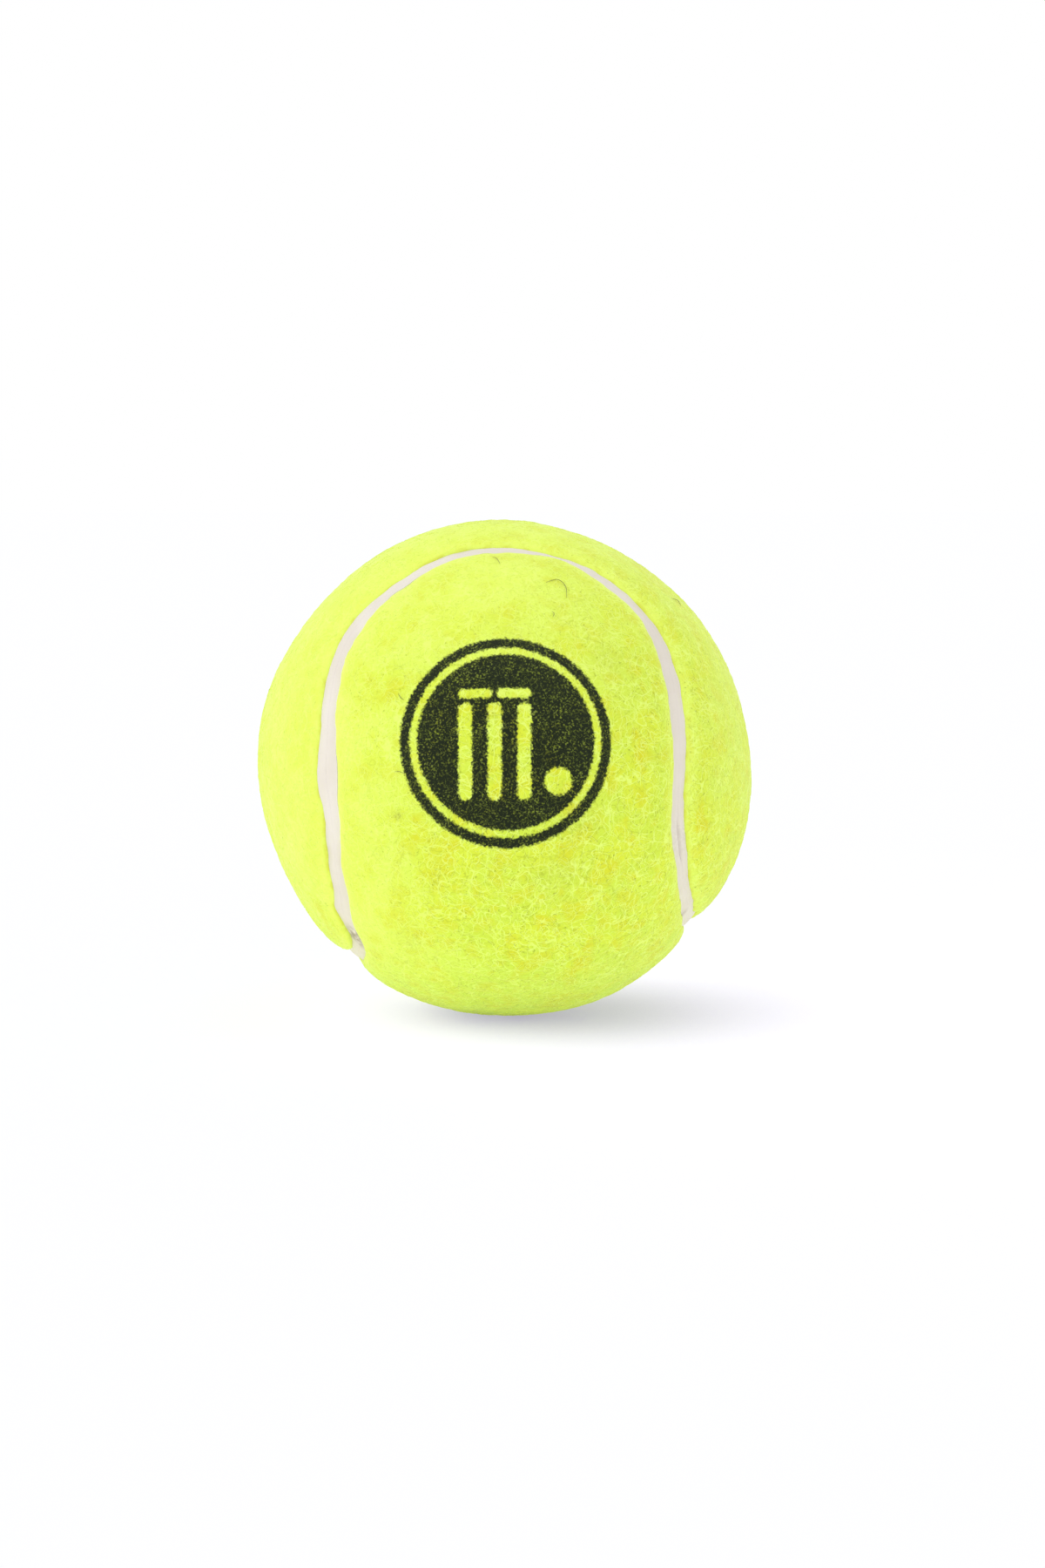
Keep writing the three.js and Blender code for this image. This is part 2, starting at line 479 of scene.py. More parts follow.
@dataclass(frozen=True)
class NapRelief:
    """Lumps, tufts and needle pits of the nap, in millimetres.

    Attributes:
        ripples: Lumps and tufts, from wide to fine.
        pits: Where needles left pits, from wide to small.
        pit_depth: Depth of a pit.
        edge_share: Share of the relief that is left at the cut edge.
        edge_fade: Distances from the cut edge between which it grows whole.
    """

    ripples: tuple[RandomField, ...] = (
        RandomField(21, 61, 0.06),
        RandomField(7, 62, 0.016),
        RandomField(2.2, 63, 0.007),
        RandomField(1.1, 64, 0.006),
    )
    pits: tuple[Patches, ...] = (
        Patches(RandomField(4.6, 51), (0.7, 2.1)),
        Patches(RandomField(2.4, 52), (1.0, 2.3), 0.8),
    )
    pit_depth: float = 0.035
    edge_share: float = 0.25
    edge_fade: Span = (0.2, 3.5)

    def pitted(self, points: np.ndarray) -> np.ndarray:
        """How deep in a pit places in millimetres lie, from 0 to 1."""
        return np.clip(sum(pit.at(points) for pit in self.pits), 0.0, 1.0)

    def height(self, points: np.ndarray, beside: np.ndarray) -> np.ndarray:
        """Height of the relief.

        Args:
            points: Places on the nap.
            beside: Their distances from the cut edge.

        Returns:
            The height above the full radius.
        """
        ripples = sum(ripple.at(points) for ripple in self.ripples)
        whole = self.edge_share + (1 - self.edge_share) * smooth_step(beside, *self.edge_fade)
        return (ripples - self.pit_depth * self.pitted(points)) * whole


@dataclass(frozen=True)
class BallForm:
    """The ball's layers and the hand-made unevenness of its felt and seam, in millimetres.

    Attributes:
        view: The photograph's view, which places the local changes.
        seam: The seam's curve.
        ball_radius: Radius of the nap.
        seam_depth: Depth of the seam's floor below the nap.
        seam_width: Width of the seam.
        felt_thickness: Thickness of the felt.
        cement_seat: Depth of the edge coats' foot below the nap.
        seam_shifts: Where the seam leaves its ideal line.
        seam_widths: Where it is wider or narrower.
        swellings: Where the ball bulges or draws in.
        smooth_and_lit_places: Where the nap lies smooth, and where the felt is painted paler as
            painted light, where the ball is lit and at its limbs.
        seam_wander: How the seam strays from its ideal line all round.
        cut_ripples: What the scissors left on the lower panel's cut edge, from wide to fine.
        upper_seed_step: What is added to their seeds for the upper panel.
        shoulder: How the nap rounds off beside the seam.
        relief: The nap's lumps and pits.
        smooth_ripple: Unevenness of how smooth and pale the nap is.
        smooth_behind: How much smoother the nap is on the far side.
        behind: Depths behind the ball's middle between which that starts, in ball radii.
        least_smooth: The least value of that, where the nap is rough and darkest.
        flat_share: Least share of a downward direction that still counts as facing the floor.
    """

    view: PhotoView
    seam: SeamCurve
    ball_radius: float
    seam_depth: float = 1.2
    seam_width: float = 2.6
    felt_thickness: float = 3.0
    cement_seat: float = 3.35
    seam_shifts: tuple[Spot, ...] = ()
    seam_widths: tuple[Spot, ...] = ()
    swellings: tuple[Spot, ...] = ()
    smooth_and_lit_places: tuple[Spot, ...] = ()
    seam_wander: RandomField = RandomField(34, 11, 0.12)
    cut_ripples: tuple[RandomField, ...] = (
        RandomField(7.5, 20, 0.075),
        RandomField(2.6, 21, 0.05),
        RandomField(1.1, 22, 0.022),
    )
    upper_seed_step: int = 10
    shoulder: Shoulder = Shoulder()
    relief: NapRelief = NapRelief()
    smooth_ripple: RandomField = RandomField(26, 54, 0.1)
    smooth_behind: float = 0.5
    behind: Span = (0.1, 0.6)
    least_smooth: float = -0.4
    flat_share: float = 0.1

    def local_change(self, spots: tuple[Spot, ...], direction: np.ndarray) -> np.ndarray:
        """Adds up local changes.

        Args:
            spots: The changes.
            direction: Unit vectors from the ball's centre.

        Returns:
            The sum at each direction, in millimetres.
        """
        total = np.zeros(direction.shape[:-1])
        for spot in spots:
            away = turn_between(direction, self.view.direction_at(spot.pixel)) * self.ball_radius
            total += spot.amount * bell(away, spot.reach)
        return total

    def seam_shift(self, place: np.ndarray, side: Side) -> np.ndarray:
        """How far the seam lies from its ideal line towards a cover's panel, in millimetres."""
        wander = self.seam_wander.at(place * self.ball_radius)
        return side.sign * (wander + self.local_change(self.seam_shifts, place))

    def felt_edge(self, place: np.ndarray, side: Side) -> np.ndarray:
        """Distance of a panel's cut edge from the ideal seam line, uneven as scissors leave it.

        Args:
            place: Unit vectors on the ideal line.
            side: The cover.

        Returns:
            The distance at each place, in millimetres.
        """
        step = 0 if side is Side.LOWER else self.upper_seed_step
        ripples = (replace(ripple, seed=ripple.seed + step) for ripple in self.cut_ripples)
        uneven = sum(ripple.at(place * self.ball_radius) for ripple in ripples)
        half = (self.seam_width + self.local_change(self.seam_widths, place)) / 2
        return half + uneven + self.seam_shift(place, side)

    def smoothness(self, direction: np.ndarray) -> np.ndarray:
        """Where the nap lies smooth and pale; the paleness is partly painted light, where the ball
        is lit and at its limbs.

        Args:
            direction: Unit vectors from the ball's centre.

        Returns:
            1 where it is smooth and palest, 0 where it is rough, and less where it is darker still.
        """
        uneven = self.smooth_ripple.at(direction * self.ball_radius)
        behind = self.smooth_behind * smooth_step(direction[..., 1], *self.behind)
        # The places also paint light: paler felt where the ball is lit and at its limbs.
        places = self.local_change(self.smooth_and_lit_places, direction)
        return np.clip(uneven + behind + places, self.least_smooth, 1.0)

    def above_floor(self, direction: np.ndarray, radius: np.ndarray) -> np.ndarray:
        """Radii, cut down to where the ball lies flat on the floor."""
        down = np.maximum(-direction[..., 2], self.flat_share)
        return np.minimum(radius, self.ball_radius / down)

    def nap_radius(
        self, direction: np.ndarray, station_place: np.ndarray, beside: np.ndarray
    ) -> np.ndarray:
        """Radius of the felt's outer surface.

        Args:
            direction: Unit vectors from the ball's centre.
            station_place: The nearest places of the seam.
            beside: Distances from the cut edge in millimetres.

        Returns:
            The radius at each direction, in millimetres.
        """
        relief = self.relief.height(direction * self.ball_radius, beside)
        swelling = self.local_change(self.swellings, direction)
        drop = self.shoulder.drop(station_place * self.ball_radius, beside)
        return self.above_floor(direction, self.ball_radius + relief + swelling - drop)


# Meshes


def add_object(name: str, data: bpy.types.ID) -> bpy.types.Object:
    """Makes an object around a mesh, a camera or a light, and links it to the scene.

    Args:
        name: The object's name.
        data: What it shows.

    Returns:
        The object.
    """
    made = bpy.data.objects.new(name, data)
    bpy.context.scene.collection.objects.link(made)
    return made


@dataclass
class MeshParts:
    """What a mesh is made of, in millimetres.

    Attributes:
        points: Vertices.
        faces: Corner indices of each face.
        corner_map: Place of each corner on the bake's map, in face order.
        values: Values of the vertices, by attribute.
    """

    points: np.ndarray
    faces: list[list[int]]
    corner_map: np.ndarray
    values: dict[Attribute, np.ndarray] = field(default_factory=dict)

    def make(self, name: str, material: bpy.types.Material) -> bpy.types.Object:
        """Makes the Blender object.

        Args:
            name: The object's name.
            material: Its material.

        Returns:
            The object, linked to the scene.
        """
        mesh = bpy.data.meshes.new(name)
        mesh.from_pydata((self.points * METRES_PER_MM).tolist(), [], self.faces)
        layer = mesh.uv_layers.new(name=BAKE_MAP)
        layer.data.foreach_set("uv", np.asarray(self.corner_map, np.float32).ravel())
        for attribute, values in self.values.items():
            data = mesh.attributes.new(attribute.value, "FLOAT", "POINT").data
            data.foreach_set("value", np.asarray(values, np.float32))
        mesh.shade_smooth()
        mesh.materials.append(material)
        return add_object(name, mesh)


def corners(grid: np.ndarray) -> np.ndarray:
    """Values by band, station and corner, from values by ring and station, which close up."""
    here, above = grid[:-1], grid[1:]
    return np.stack([here, above, np.roll(above, -1, 1), np.roll(here, -1, 1)], axis=2)


def within(share: np.ndarray | float, margin: float) -> np.ndarray | float:
    """A share of a cell on the bake's map, kept off the cell's edges by a margin."""
    return margin + (1 - 2 * margin) * share


@dataclass(frozen=True)
class PanelLoft:
    """Bands of the felt panel's mesh.

    Attributes:
        inner_bands: Bands of the face that is cemented down.
        wall_foot: Radius below the seam's floor where the visible wall starts, in millimetres.
        shoulder_bands: Bands of the rounded shoulder.
        shoulder_reach: Width of the shoulder in millimetres.
        crowding: Power that crowds the shoulder's bands towards the cut edge.
        field_bands: Bands from the shoulder to the centre line.
        inside: Distance from the cut edge that the inner face is given, in millimetres.
        map_margin: Margin on the bake's map.
        map_slack: Share of the room left on the map that the inner face takes.
    """

    inner_bands: int = 5
    wall_foot: float = 31.2
    shoulder_bands: int = 18
    shoulder_reach: float = 5.0
    crowding: float = 1.7
    field_bands: int = 86
    inside: float = -1.0
    map_margin: float = 0.008
    map_slack: float = 0.96

    def shoulder_at(self, share: np.ndarray | float) -> np.ndarray | float:
        """Distance from the cut edge at a share of the shoulder's bands."""
        return self.shoulder_reach * share**self.crowding


@dataclass
class FeltPanel:
    """One dog-bone panel of needle felt, with its nap, pits, cut edge and printed mark.

    Attributes:
        side: Which cover it belongs to.
        form: The ball's form.
        mark: The printed mark.
        loft: Bands of its mesh.
    """

    side: Side
    form: BallForm
    mark: PrintedMark
    loft: PanelLoft = PanelLoft()

    def __post_init__(self) -> None:
        """Works out the stations and the cut edge."""
        self.stations = self.form.seam.stations(self.side)
        self.edge = self.form.felt_edge(self.stations.place, self.side)

    def _rings(self) -> tuple[np.ndarray, np.ndarray, np.ndarray]:
        """Lays out the rings, from the inner face over the edge to the outer face.

        Returns:
            Points, directions for the bake's map and distances from the cut edge, by ring.
        """
        form, loft = self.form, self.loft
        radius, facing = form.ball_radius, self.stations.facing
        edge = self.stations.beside(self.edge, radius)
        seat = radius - form.felt_thickness
        points, mapped, beside = [], [], []
        for band in range(loft.inner_bands, -1, -1):
            inner = along_arc(edge, facing, band / loft.inner_bands)
            points.append(inner * seat)
            mapped.append(inner)
            beside.append(np.full(len(inner), loft.inside))
        points.append(edge * loft.wall_foot)
        mapped.append(None)
        beside.append(np.full(len(edge), 0.0))
        for direction, reach in self._outer_rings():
            nap = form.nap_radius(direction, self.stations.place, reach)
            points.append(direction * nap[:, None])
            mapped.append(direction)
            beside.append(reach)
        self._unfold_edge(points, mapped)
        return np.array(points), np.array(mapped), np.array(beside)

    def _outer_rings(self) -> Iterator[tuple[np.ndarray, np.ndarray]]:
        """Lays out the outer face, from the cut edge to the centre line.

        Returns:
            Directions and distances from the cut edge, ring by ring.
        """
        loft, radius, facing = self.loft, self.form.ball_radius, self.stations.facing
        shares = np.arange(loft.shoulder_bands + 1) / loft.shoulder_bands
        for reach in loft.shoulder_at(shares):
            yield self.stations.beside(self.edge + reach, radius), np.full(len(facing), reach)
        rim = self.stations.beside(self.edge + loft.shoulder_reach, radius)
        span = turn_between(rim, facing) * radius
        for share in np.arange(1, loft.field_bands + 1) / loft.field_bands:
            yield along_arc(rim, facing, share), loft.shoulder_reach + share * span

    def _unfold_edge(self, points: list[np.ndarray], mapped: list[np.ndarray]) -> None:
        """Spreads the steep edge out on the bake's map, past the cut edge.

        Args:
            points: Points by ring.
            mapped: Directions for the map by ring, which are changed from the edge down.
        """
        lowest = self.loft.inner_bands
        flat = lowest + 2 + self.loft.shoulder_bands // 2
        shares = (flat - lowest - 2) / self.loft.shoulder_bands
        out = self.loft.shoulder_at(shares)
        for ring in range(flat - 1, lowest - 1, -1):
            step = np.linalg.norm(points[ring + 1] - points[ring], axis=1).mean()
            out -= step
            mapped[ring] = self.stations.beside(self.edge + out, self.form.ball_radius)

    def _bake_places(self, points: np.ndarray, mapped: np.ndarray) -> np.ndarray:
        """Unrolls both faces of the panel onto the bake's map, each cut across its waist.

        Args:
            points: Points by ring.
            mapped: Directions for the outer face's map by ring.

        Returns:
            Map places by band, station and corner.
        """
        lowest, margin = self.loft.inner_bands, self.loft.map_margin
        inner = self._unrolled(unit(points[: lowest + 1]))
        outer = self._unrolled(mapped[lowest:])
        scale = (1 - 3 * margin) / (4 * np.abs(outer[..., 1]).max())
        width = np.abs(outer[..., 0]).max() * scale
        placed = self._two_halves(outer, scale, np.array([margin, margin]))
        strip = 2 * margin + width + 2 * margin
        small = (1 - margin - strip) / np.abs(inner[..., 0]).max() * self.loft.map_slack
        return np.concatenate([self._two_halves(inner, small, np.array([strip, margin])), placed])

    def _unrolled(self, directions: np.ndarray) -> np.ndarray:
        """Measures places by the panel's centre line.

        Args:
            directions: Unit vectors by ring and station.

        Returns:
            Angles along and across it, at the corners of each face.
        """
        own = self.form.seam.to_own(directions, self.side)
        level = heading_direction(np.array(QUARTER / 2), np.array(0.0))
        across = np.array([-level[1], level[0], 0.0])
        along = np.arctan2(own @ level, -own[..., 2])
        return corners(np.stack([along, np.arcsin(np.clip(own @ across, -1, 1))], axis=-1))

    def _two_halves(self, angles: np.ndarray, scale: float, start: np.ndarray) -> np.ndarray:
        """Puts the two halves of an unrolled face one above the other.

        Args:
            angles: Angles at the corners of each face.
            scale: Size of a radian on the map.
            start: The lowest corner on the map.

        Returns:
            Map places of the corners.
        """
        first = angles[..., 0].mean(-1, keepdims=True)[..., None] >= 0
        half = np.abs(angles[..., 1]).max()
        turned = np.where(first, angles, -angles)
        turned += np.array([-turned[..., 0].min(), half])
        turned[..., 1] += np.where(first[..., 0], 0.0, 2 * half + self.loft.map_margin / scale)
        return start + turned * scale

    def mesh(self) -> MeshParts:
        """Builds the closed mesh.

        Returns:
            Its parts.
        """
        points, mapped, beside = self._rings()
        rings, count = beside.shape
        index = np.arange(rings * count).reshape(rings, count)
        welded = np.minimum(np.arange(count), self.form.seam.mirrored())
        index[0], index[-1] = index[0][welded], index[-1][welded]
        used, faces = np.unique(corners(index), return_inverse=True)
        flat, form = points.reshape(-1, 3)[used], self.form
        direction = unit(flat)
        return MeshParts(
            flat,
            faces.reshape(-1, 4).tolist(),
            self._bake_places(points, mapped).reshape(-1, 2),
            {
                Attribute.SEAM_DISTANCE: beside.ravel()[used],
                Attribute.INK_DISTANCE: self.mark.distance(direction),
                Attribute.PIT: form.relief.pitted(direction * form.ball_radius),
                Attribute.SMOOTH: form.smoothness(direction),
            },
        )

    def nearest_edge(self, direction: np.ndarray) -> tuple[np.ndarray, np.ndarray]:
        """Finds the seam from any place on the ball.

        Args:
            direction: Unit vectors, one a row.

        Returns:
            The nearest station of each, and its distance inside the cut edge in millimetres,
            which is negative outside the panel.
        """
        station = np.empty(len(direction), int)
        for first in range(0, len(direction), ROWS_AT_ONCE):
            part = slice(first, first + ROWS_AT_ONCE)
            station[part] = (direction[part] @ self.stations.place.T).argmax(1)
        place, towards = self.stations.place[station], self.stations.towards[station]
        inward = np.sign((direction * towards).sum(1))
        away = turn_between(direction, place) * self.form.ball_radius * inward
        return station, away - self.edge[station]

    def surface_radius(self, direction: np.ndarray) -> np.ndarray:
        """Radius of the nap at any place of the panel, in millimetres."""
        station, beside = self.nearest_edge(direction)
        return self.form.nap_radius(direction, self.stations.place[station], beside)


@dataclass(frozen=True)
class PrintedMark:
    """A plain roundel in dark ink, with a wicket and a ball left light in its middle.

    Attributes:
        view: The photograph's view, which places the mark.
        pixel: Where its centre is.
        ring_radius: Radius of the outer ring's line.
        ring_line: Width of that line.
        disc_radius: Radius of the inked disc.
        stump_spacing: Distance between the stumps.
        stump_radius: Half a stump's width.
        stump_foot: Height of the stumps' feet from the centre.
        stump_top: Height of their tops.
        wicket_shift: How far the wicket stands to the right of the centre.
        bail_radius: Half a bail's thickness.
        bail_gap: Gap round the bails.
        ball_radius: Radius of the light ball.
        ball_place: Its centre, to the right of and above the mark's.
    """

    view: PhotoView
    pixel: Pixel = (581.0, 850.0)
    ring_radius: float = 12.9
    ring_line: float = 1.35
    disc_radius: float = 11.3
    stump_spacing: float = 3.7
    stump_radius: float = 0.85
    stump_foot: float = -6.6
    stump_top: float = 4.0
    wicket_shift: float = -1.4
    bail_radius: float = 0.6
    bail_gap: float = 0.6
    ball_radius: float = 1.75
    ball_place: Span = (6.6, -5.0)

    def distance(self, direction: np.ndarray) -> np.ndarray:
        """Distance to the edge of the ink.

        Args:
            direction: Unit vectors from the ball's centre.

        Returns:
            Millimetres over the surface, negative where there is ink.
        """
        centre = self.view.direction_at(self.pixel)
        up = tangent(centre, np.array([0.0, 0.0, 1.0]))
        right = np.cross(up, centre)
        away = turn_between(direction, np.broadcast_to(centre, direction.shape))
        flat = tangent(centre, direction + TINY * up)
        reach = (away * self.view.ball_radius)[..., None]
        place = reach * np.stack([flat @ right, flat @ up], axis=-1)
        from_centre = reach[..., 0]
        ring = np.abs(from_centre - self.ring_radius) - self.ring_line / 2
        disc = from_centre - self.disc_radius
        return np.minimum(ring, np.maximum(disc, -self._figures(place)))

    def _figures(self, place: np.ndarray) -> np.ndarray:
        """Distance to the light figures: three stumps, two bails and a ball.

        Args:
            place: Places on the mark, in millimetres.

        Returns:
            The distance, negative inside a figure.
        """
        nearest = np.linalg.norm(place - np.array(self.ball_place), axis=-1) - self.ball_radius
        for column in (-1, 0, 1):
            across = self.wicket_shift + column * self.stump_spacing
            stump = self._bar(place, (across, self.stump_foot), (across, self.stump_top))
            nearest = np.minimum(nearest, stump - self.stump_radius)
        height = self.stump_top + self.stump_radius + self.bail_gap + self.bail_radius
        for column in (-1, 1):
            inner = self.wicket_shift + column * (self.bail_gap / 2 + self.bail_radius)
            reach = self.stump_spacing + self.stump_radius - self.bail_radius
            outer = self.wicket_shift + column * reach
            bail = self._bar(place, (inner, height), (outer, height))
            nearest = np.minimum(nearest, bail - self.bail_radius)
        return nearest

    @staticmethod
    def _bar(place: np.ndarray, start: Pixel, end: Pixel) -> np.ndarray:
        """Distance to a straight line on the mark.

        Args:
            place: Places on the mark.
            start: One end of the line.
            end: Its other end.

        Returns:
            The distance at each place.
        """
        base, line = np.array(start), np.array(end) - np.array(start)
        share = np.clip(((place - base) @ line) / (line @ line), 0.0, 1.0)
        return np.linalg.norm(place - base - share[..., None] * line, axis=-1)


@dataclass
class EdgeCoat:
    """The white rubber coat on one panel's cut edge, half of the seam.

    Attributes:
        side: Which cover it belongs to.
        form: The ball's form.
        openings: Stretches where the two coats have parted, with their depth.
        crown: How far its top is rounded up, in millimetres.
        lap: How far it laps up the felt.
        lap_reach: How far from the felt that starts.
        clearance: Gap between the coat and the felt.
        top_steps: Steps across its top.
        wall_radius: Radius at which its walls have a ring.
        map_rows: Rows on the bake's map.
        hairline: Depth of the hairline between the coats.
        parting_reach: Width of a parting.
        parted: Depths between which each coat gets a rounded top of its own.
        leaning: Share of a parting's depth by which the coats also move apart.
        far_openings: Partings where the photograph doesn't look.
        far_side: Depths behind the ball's middle between which those start, in ball radii.
        ripples: Unevenness of the top.
        map_margins: Margins along and across a row of the map.
    """

    side: Side
    form: BallForm
    openings: tuple[Spot, ...] = ()
    crown: float = 0.2
    lap: float = 0.12
    lap_reach: float = 0.14
    clearance: float = 0.015
    top_steps: int = 12
    wall_radius: float = 31.0
    map_rows: int = 8
    hairline: float = 0.008
    parting_reach: float = 0.16
    parted: Span = (0.02, 0.15)
    leaning: float = 0.22
    far_openings: Patches = Patches(RandomField(30, 71), (1.2, 2.2), 0.25)
    far_side: Span = (-0.1, 0.3)
    ripples: tuple[RandomField, ...] = (RandomField(4, 72, 0.02), RandomField(1.2, 73, 0.008))
    map_margins: Span = (0.01, 0.04)

    def _parting(self, place: np.ndarray) -> np.ndarray:
        """Depth of the parting between the coats.

        Args:
            place: Unit vectors on the seam's ideal line.

        Returns:
            The depth at each place, in millimetres.
        """
        seen = self.hairline + self.form.local_change(self.openings, place)
        unseen = self.far_openings.at(place * self.form.ball_radius)
        return seen + unseen * smooth_step(place[:, 1], *self.far_side)

    def mesh(self) -> MeshParts:
        """Builds the closed ring.

        Returns:
            Its parts.
        """
        form, radius = self.form, self.form.ball_radius
        stations = form.seam.stations(self.side)
        place = stations.place
        parting = self._parting(place)
        half_line = self.hairline / 2
        inner = form.seam_shift(place, self.side) + half_line + self.leaning * parting
        outer = form.felt_edge(place, self.side) - self.clearance
        foot = radius - form.cement_seat
        rings = [(inner, foot + 0 * inner), (inner, self.wall_radius + 0 * inner)]
        for step in range(self.top_steps + 1):
            share = (1 - math.cos(math.pi * step / self.top_steps)) / 2
            distance = inner + (outer - inner) * share
            rings.append((distance, self._top(stations, distance, share, outer - inner, parting)))
        rings += [(outer, self.wall_radius + 0 * outer), (outer, foot + 0 * outer), rings[0]]
        directions = [stations.beside(distance, radius) for distance, _ in rings]
        points = np.array([d * r[:, None] for d, (_, r) in zip(directions, rings)])
        count = form.seam.count
        index = np.arange((len(rings) - 1) * count).reshape(-1, count)
        faces = corners(np.concatenate([index, index[:1]]))
        return MeshParts(
            points[:-1].reshape(-1, 3),
            faces.reshape(-1, 4).tolist(),
            self._bake_places(points).reshape(-1, 2),
            {Attribute.OPENING: np.tile(parting, len(rings) - 1)},
        )

    def _top(
        self,
        stations: SeamStations,
        distance: np.ndarray,
        share: float,
        width: np.ndarray,
        parting: np.ndarray,
    ) -> np.ndarray:
        """Radius of the coat's top.

        Args:
            stations: The seam's stations.
            distance: Distance of this ring from the ideal seam line.
            share: Share of the coat's width between the parting and this ring.
            width: Width of the coat.
            parting: Depth of the parting.

        Returns:
            The radius at each station, in millimetres.
        """
        form = self.form
        points = stations.beside(distance, form.ball_radius) * form.ball_radius
        opened = smooth_step(parting, *self.parted)
        merged_crown = 1 - share**2
        own_crown = 4 * share * (1 - share)
        rise = self.crown * (merged_crown + (own_crown - merged_crown) * opened)
        rise -= parting * bell(share * width, self.parting_reach)
        rise += self.lap * bell((1 - share) * width, self.lap_reach)
        rise += sum(ripple.at(points) for ripple in self.ripples)
        swelling = form.local_change(form.swellings, stations.place)
        return form.ball_radius - form.seam_depth + rise + swelling

    def _bake_places(self, points: np.ndarray) -> np.ndarray:
        """Lays the ring out on the bake's map as rows one above the other.

        Args:
            points: Points by ring and station.

        Returns:
            Map places by band, station and corner.
        """
        rings, count = points.shape[:2]
        across = np.linalg.norm(np.diff(points, axis=0), axis=-1).mean(1)
        height = np.concatenate([[0.0], np.cumsum(across)]) / across.sum()
        station = np.broadcast_to(np.arange(count), (rings - 1, count))
        row, step = np.divmod(station, count // self.map_rows)
        left, right = step / (count // self.map_rows), (step + 1) / (count // self.map_rows)
        low = np.broadcast_to(height[:-1, None], row.shape)
        high = np.broadcast_to(height[1:, None], row.shape)
        along = within(np.stack([left, left, right, right], axis=-1), self.map_margins[0])
        up = within(np.stack([low, high, high, low], axis=-1), self.map_margins[1])
        return np.stack([along, (row[..., None] + up) / self.map_rows], axis=-1)


@dataclass
class Strands:
    """Closed thin tubes, all with the same number of steps.

    Attributes:
        paths: Points by strand and step, in millimetres.
        normals: Unit vectors out of the surface at those points.
        radii: Radii by strand and step.
        sides: Sides of a tube.
        wall_margins: Margins of a tube's wall in its cell of the bake's map, across and up.
        cap_margin: Margin of its end caps there.
        cap_bow: How far a cap bulges into that.
    """

    paths: np.ndarray
    normals: np.ndarray
    radii: np.ndarray
    sides: int = 3
    wall_margins: Span = (0.08, 0.14)
    cap_margin: float = 0.1
    cap_bow: float = 0.07

    def mesh(self, values: dict[Attribute, np.ndarray]) -> MeshParts:
        """Builds the tubes.

        Args:
            values: Values of the strands' points, by attribute.

        Returns:
            Parts of one mesh with all of the tubes.
        """
        strands, steps = self.radii.shape
        along = unit(np.gradient(self.paths, axis=1))
        sideways = unit(np.cross(along, self.normals))
        upwards = np.cross(sideways, along)
        turns = 2 * math.pi * np.arange(self.sides) / self.sides + QUARTER
        ring = [math.cos(t) * sideways + math.sin(t) * upwards for t in turns]
        points = np.stack([self.paths + r * self.radii[..., None] for r in ring], axis=2)
        index = np.arange(strands * steps * self.sides).reshape(strands, steps, self.sides)
        grid = index.transpose(1, 2, 0)
        walls = corners(grid).transpose(3, 0, 1, 2).reshape(strands, -1, 4)
        faces = walls.reshape(-1, 4)[:, ::-1].tolist()
        faces += index[:, 0, ::-1].tolist() + index[:, -1].tolist()
        spread = {a: np.repeat(v.reshape(-1), self.sides) for a, v in values.items()}
        return MeshParts(points.reshape(-1, 3), faces, self._bake_places(strands, steps), spread)

    def _bake_places(self, strands: int, steps: int) -> np.ndarray:
        """Gives each strand a cell of its own on the bake's map.

        Args:
            strands: How many there are.
            steps: Points along each.

        Returns:
            Map places of all corners, in face order.
        """
        cells = math.ceil(math.sqrt(strands))
        row, column = np.divmod(np.arange(strands), cells)
        cell = np.stack([column, row], axis=-1)[:, None, None, :]
        band, side = np.meshgrid(np.arange(steps - 1), np.arange(self.sides), indexing="ij")
        low, high = band / (steps - 1), (band + 1) / (steps - 1)
        left, right = side / self.sides, (side + 1) / self.sides
        across = np.stack([left, left, right, right], axis=-1).reshape(-1, 4)
        up = np.stack([low, high, high, low], axis=-1).reshape(-1, 4)
        places = [within(*pair) for pair in zip((across, up), self.wall_margins)]
        walls = (cell + np.stack(places, axis=-1)[None, :, ::-1]).reshape(-1, 2)
        share = np.arange(self.sides) / (self.sides - 1)
        cap, bow = within(share, self.cap_margin), self.cap_bow * np.sin(math.pi * share)
        foot = np.stack([cap, within(0.0, self.cap_margin) - bow], axis=-1)[::-1]
        head = np.stack([cap, within(1.0, self.cap_margin) + bow], axis=-1)
        caps = [(cell[:, 0] + end[None]).reshape(-1, 2) for end in (foot, head)]
        return np.concatenate([walls, *caps]) / cells


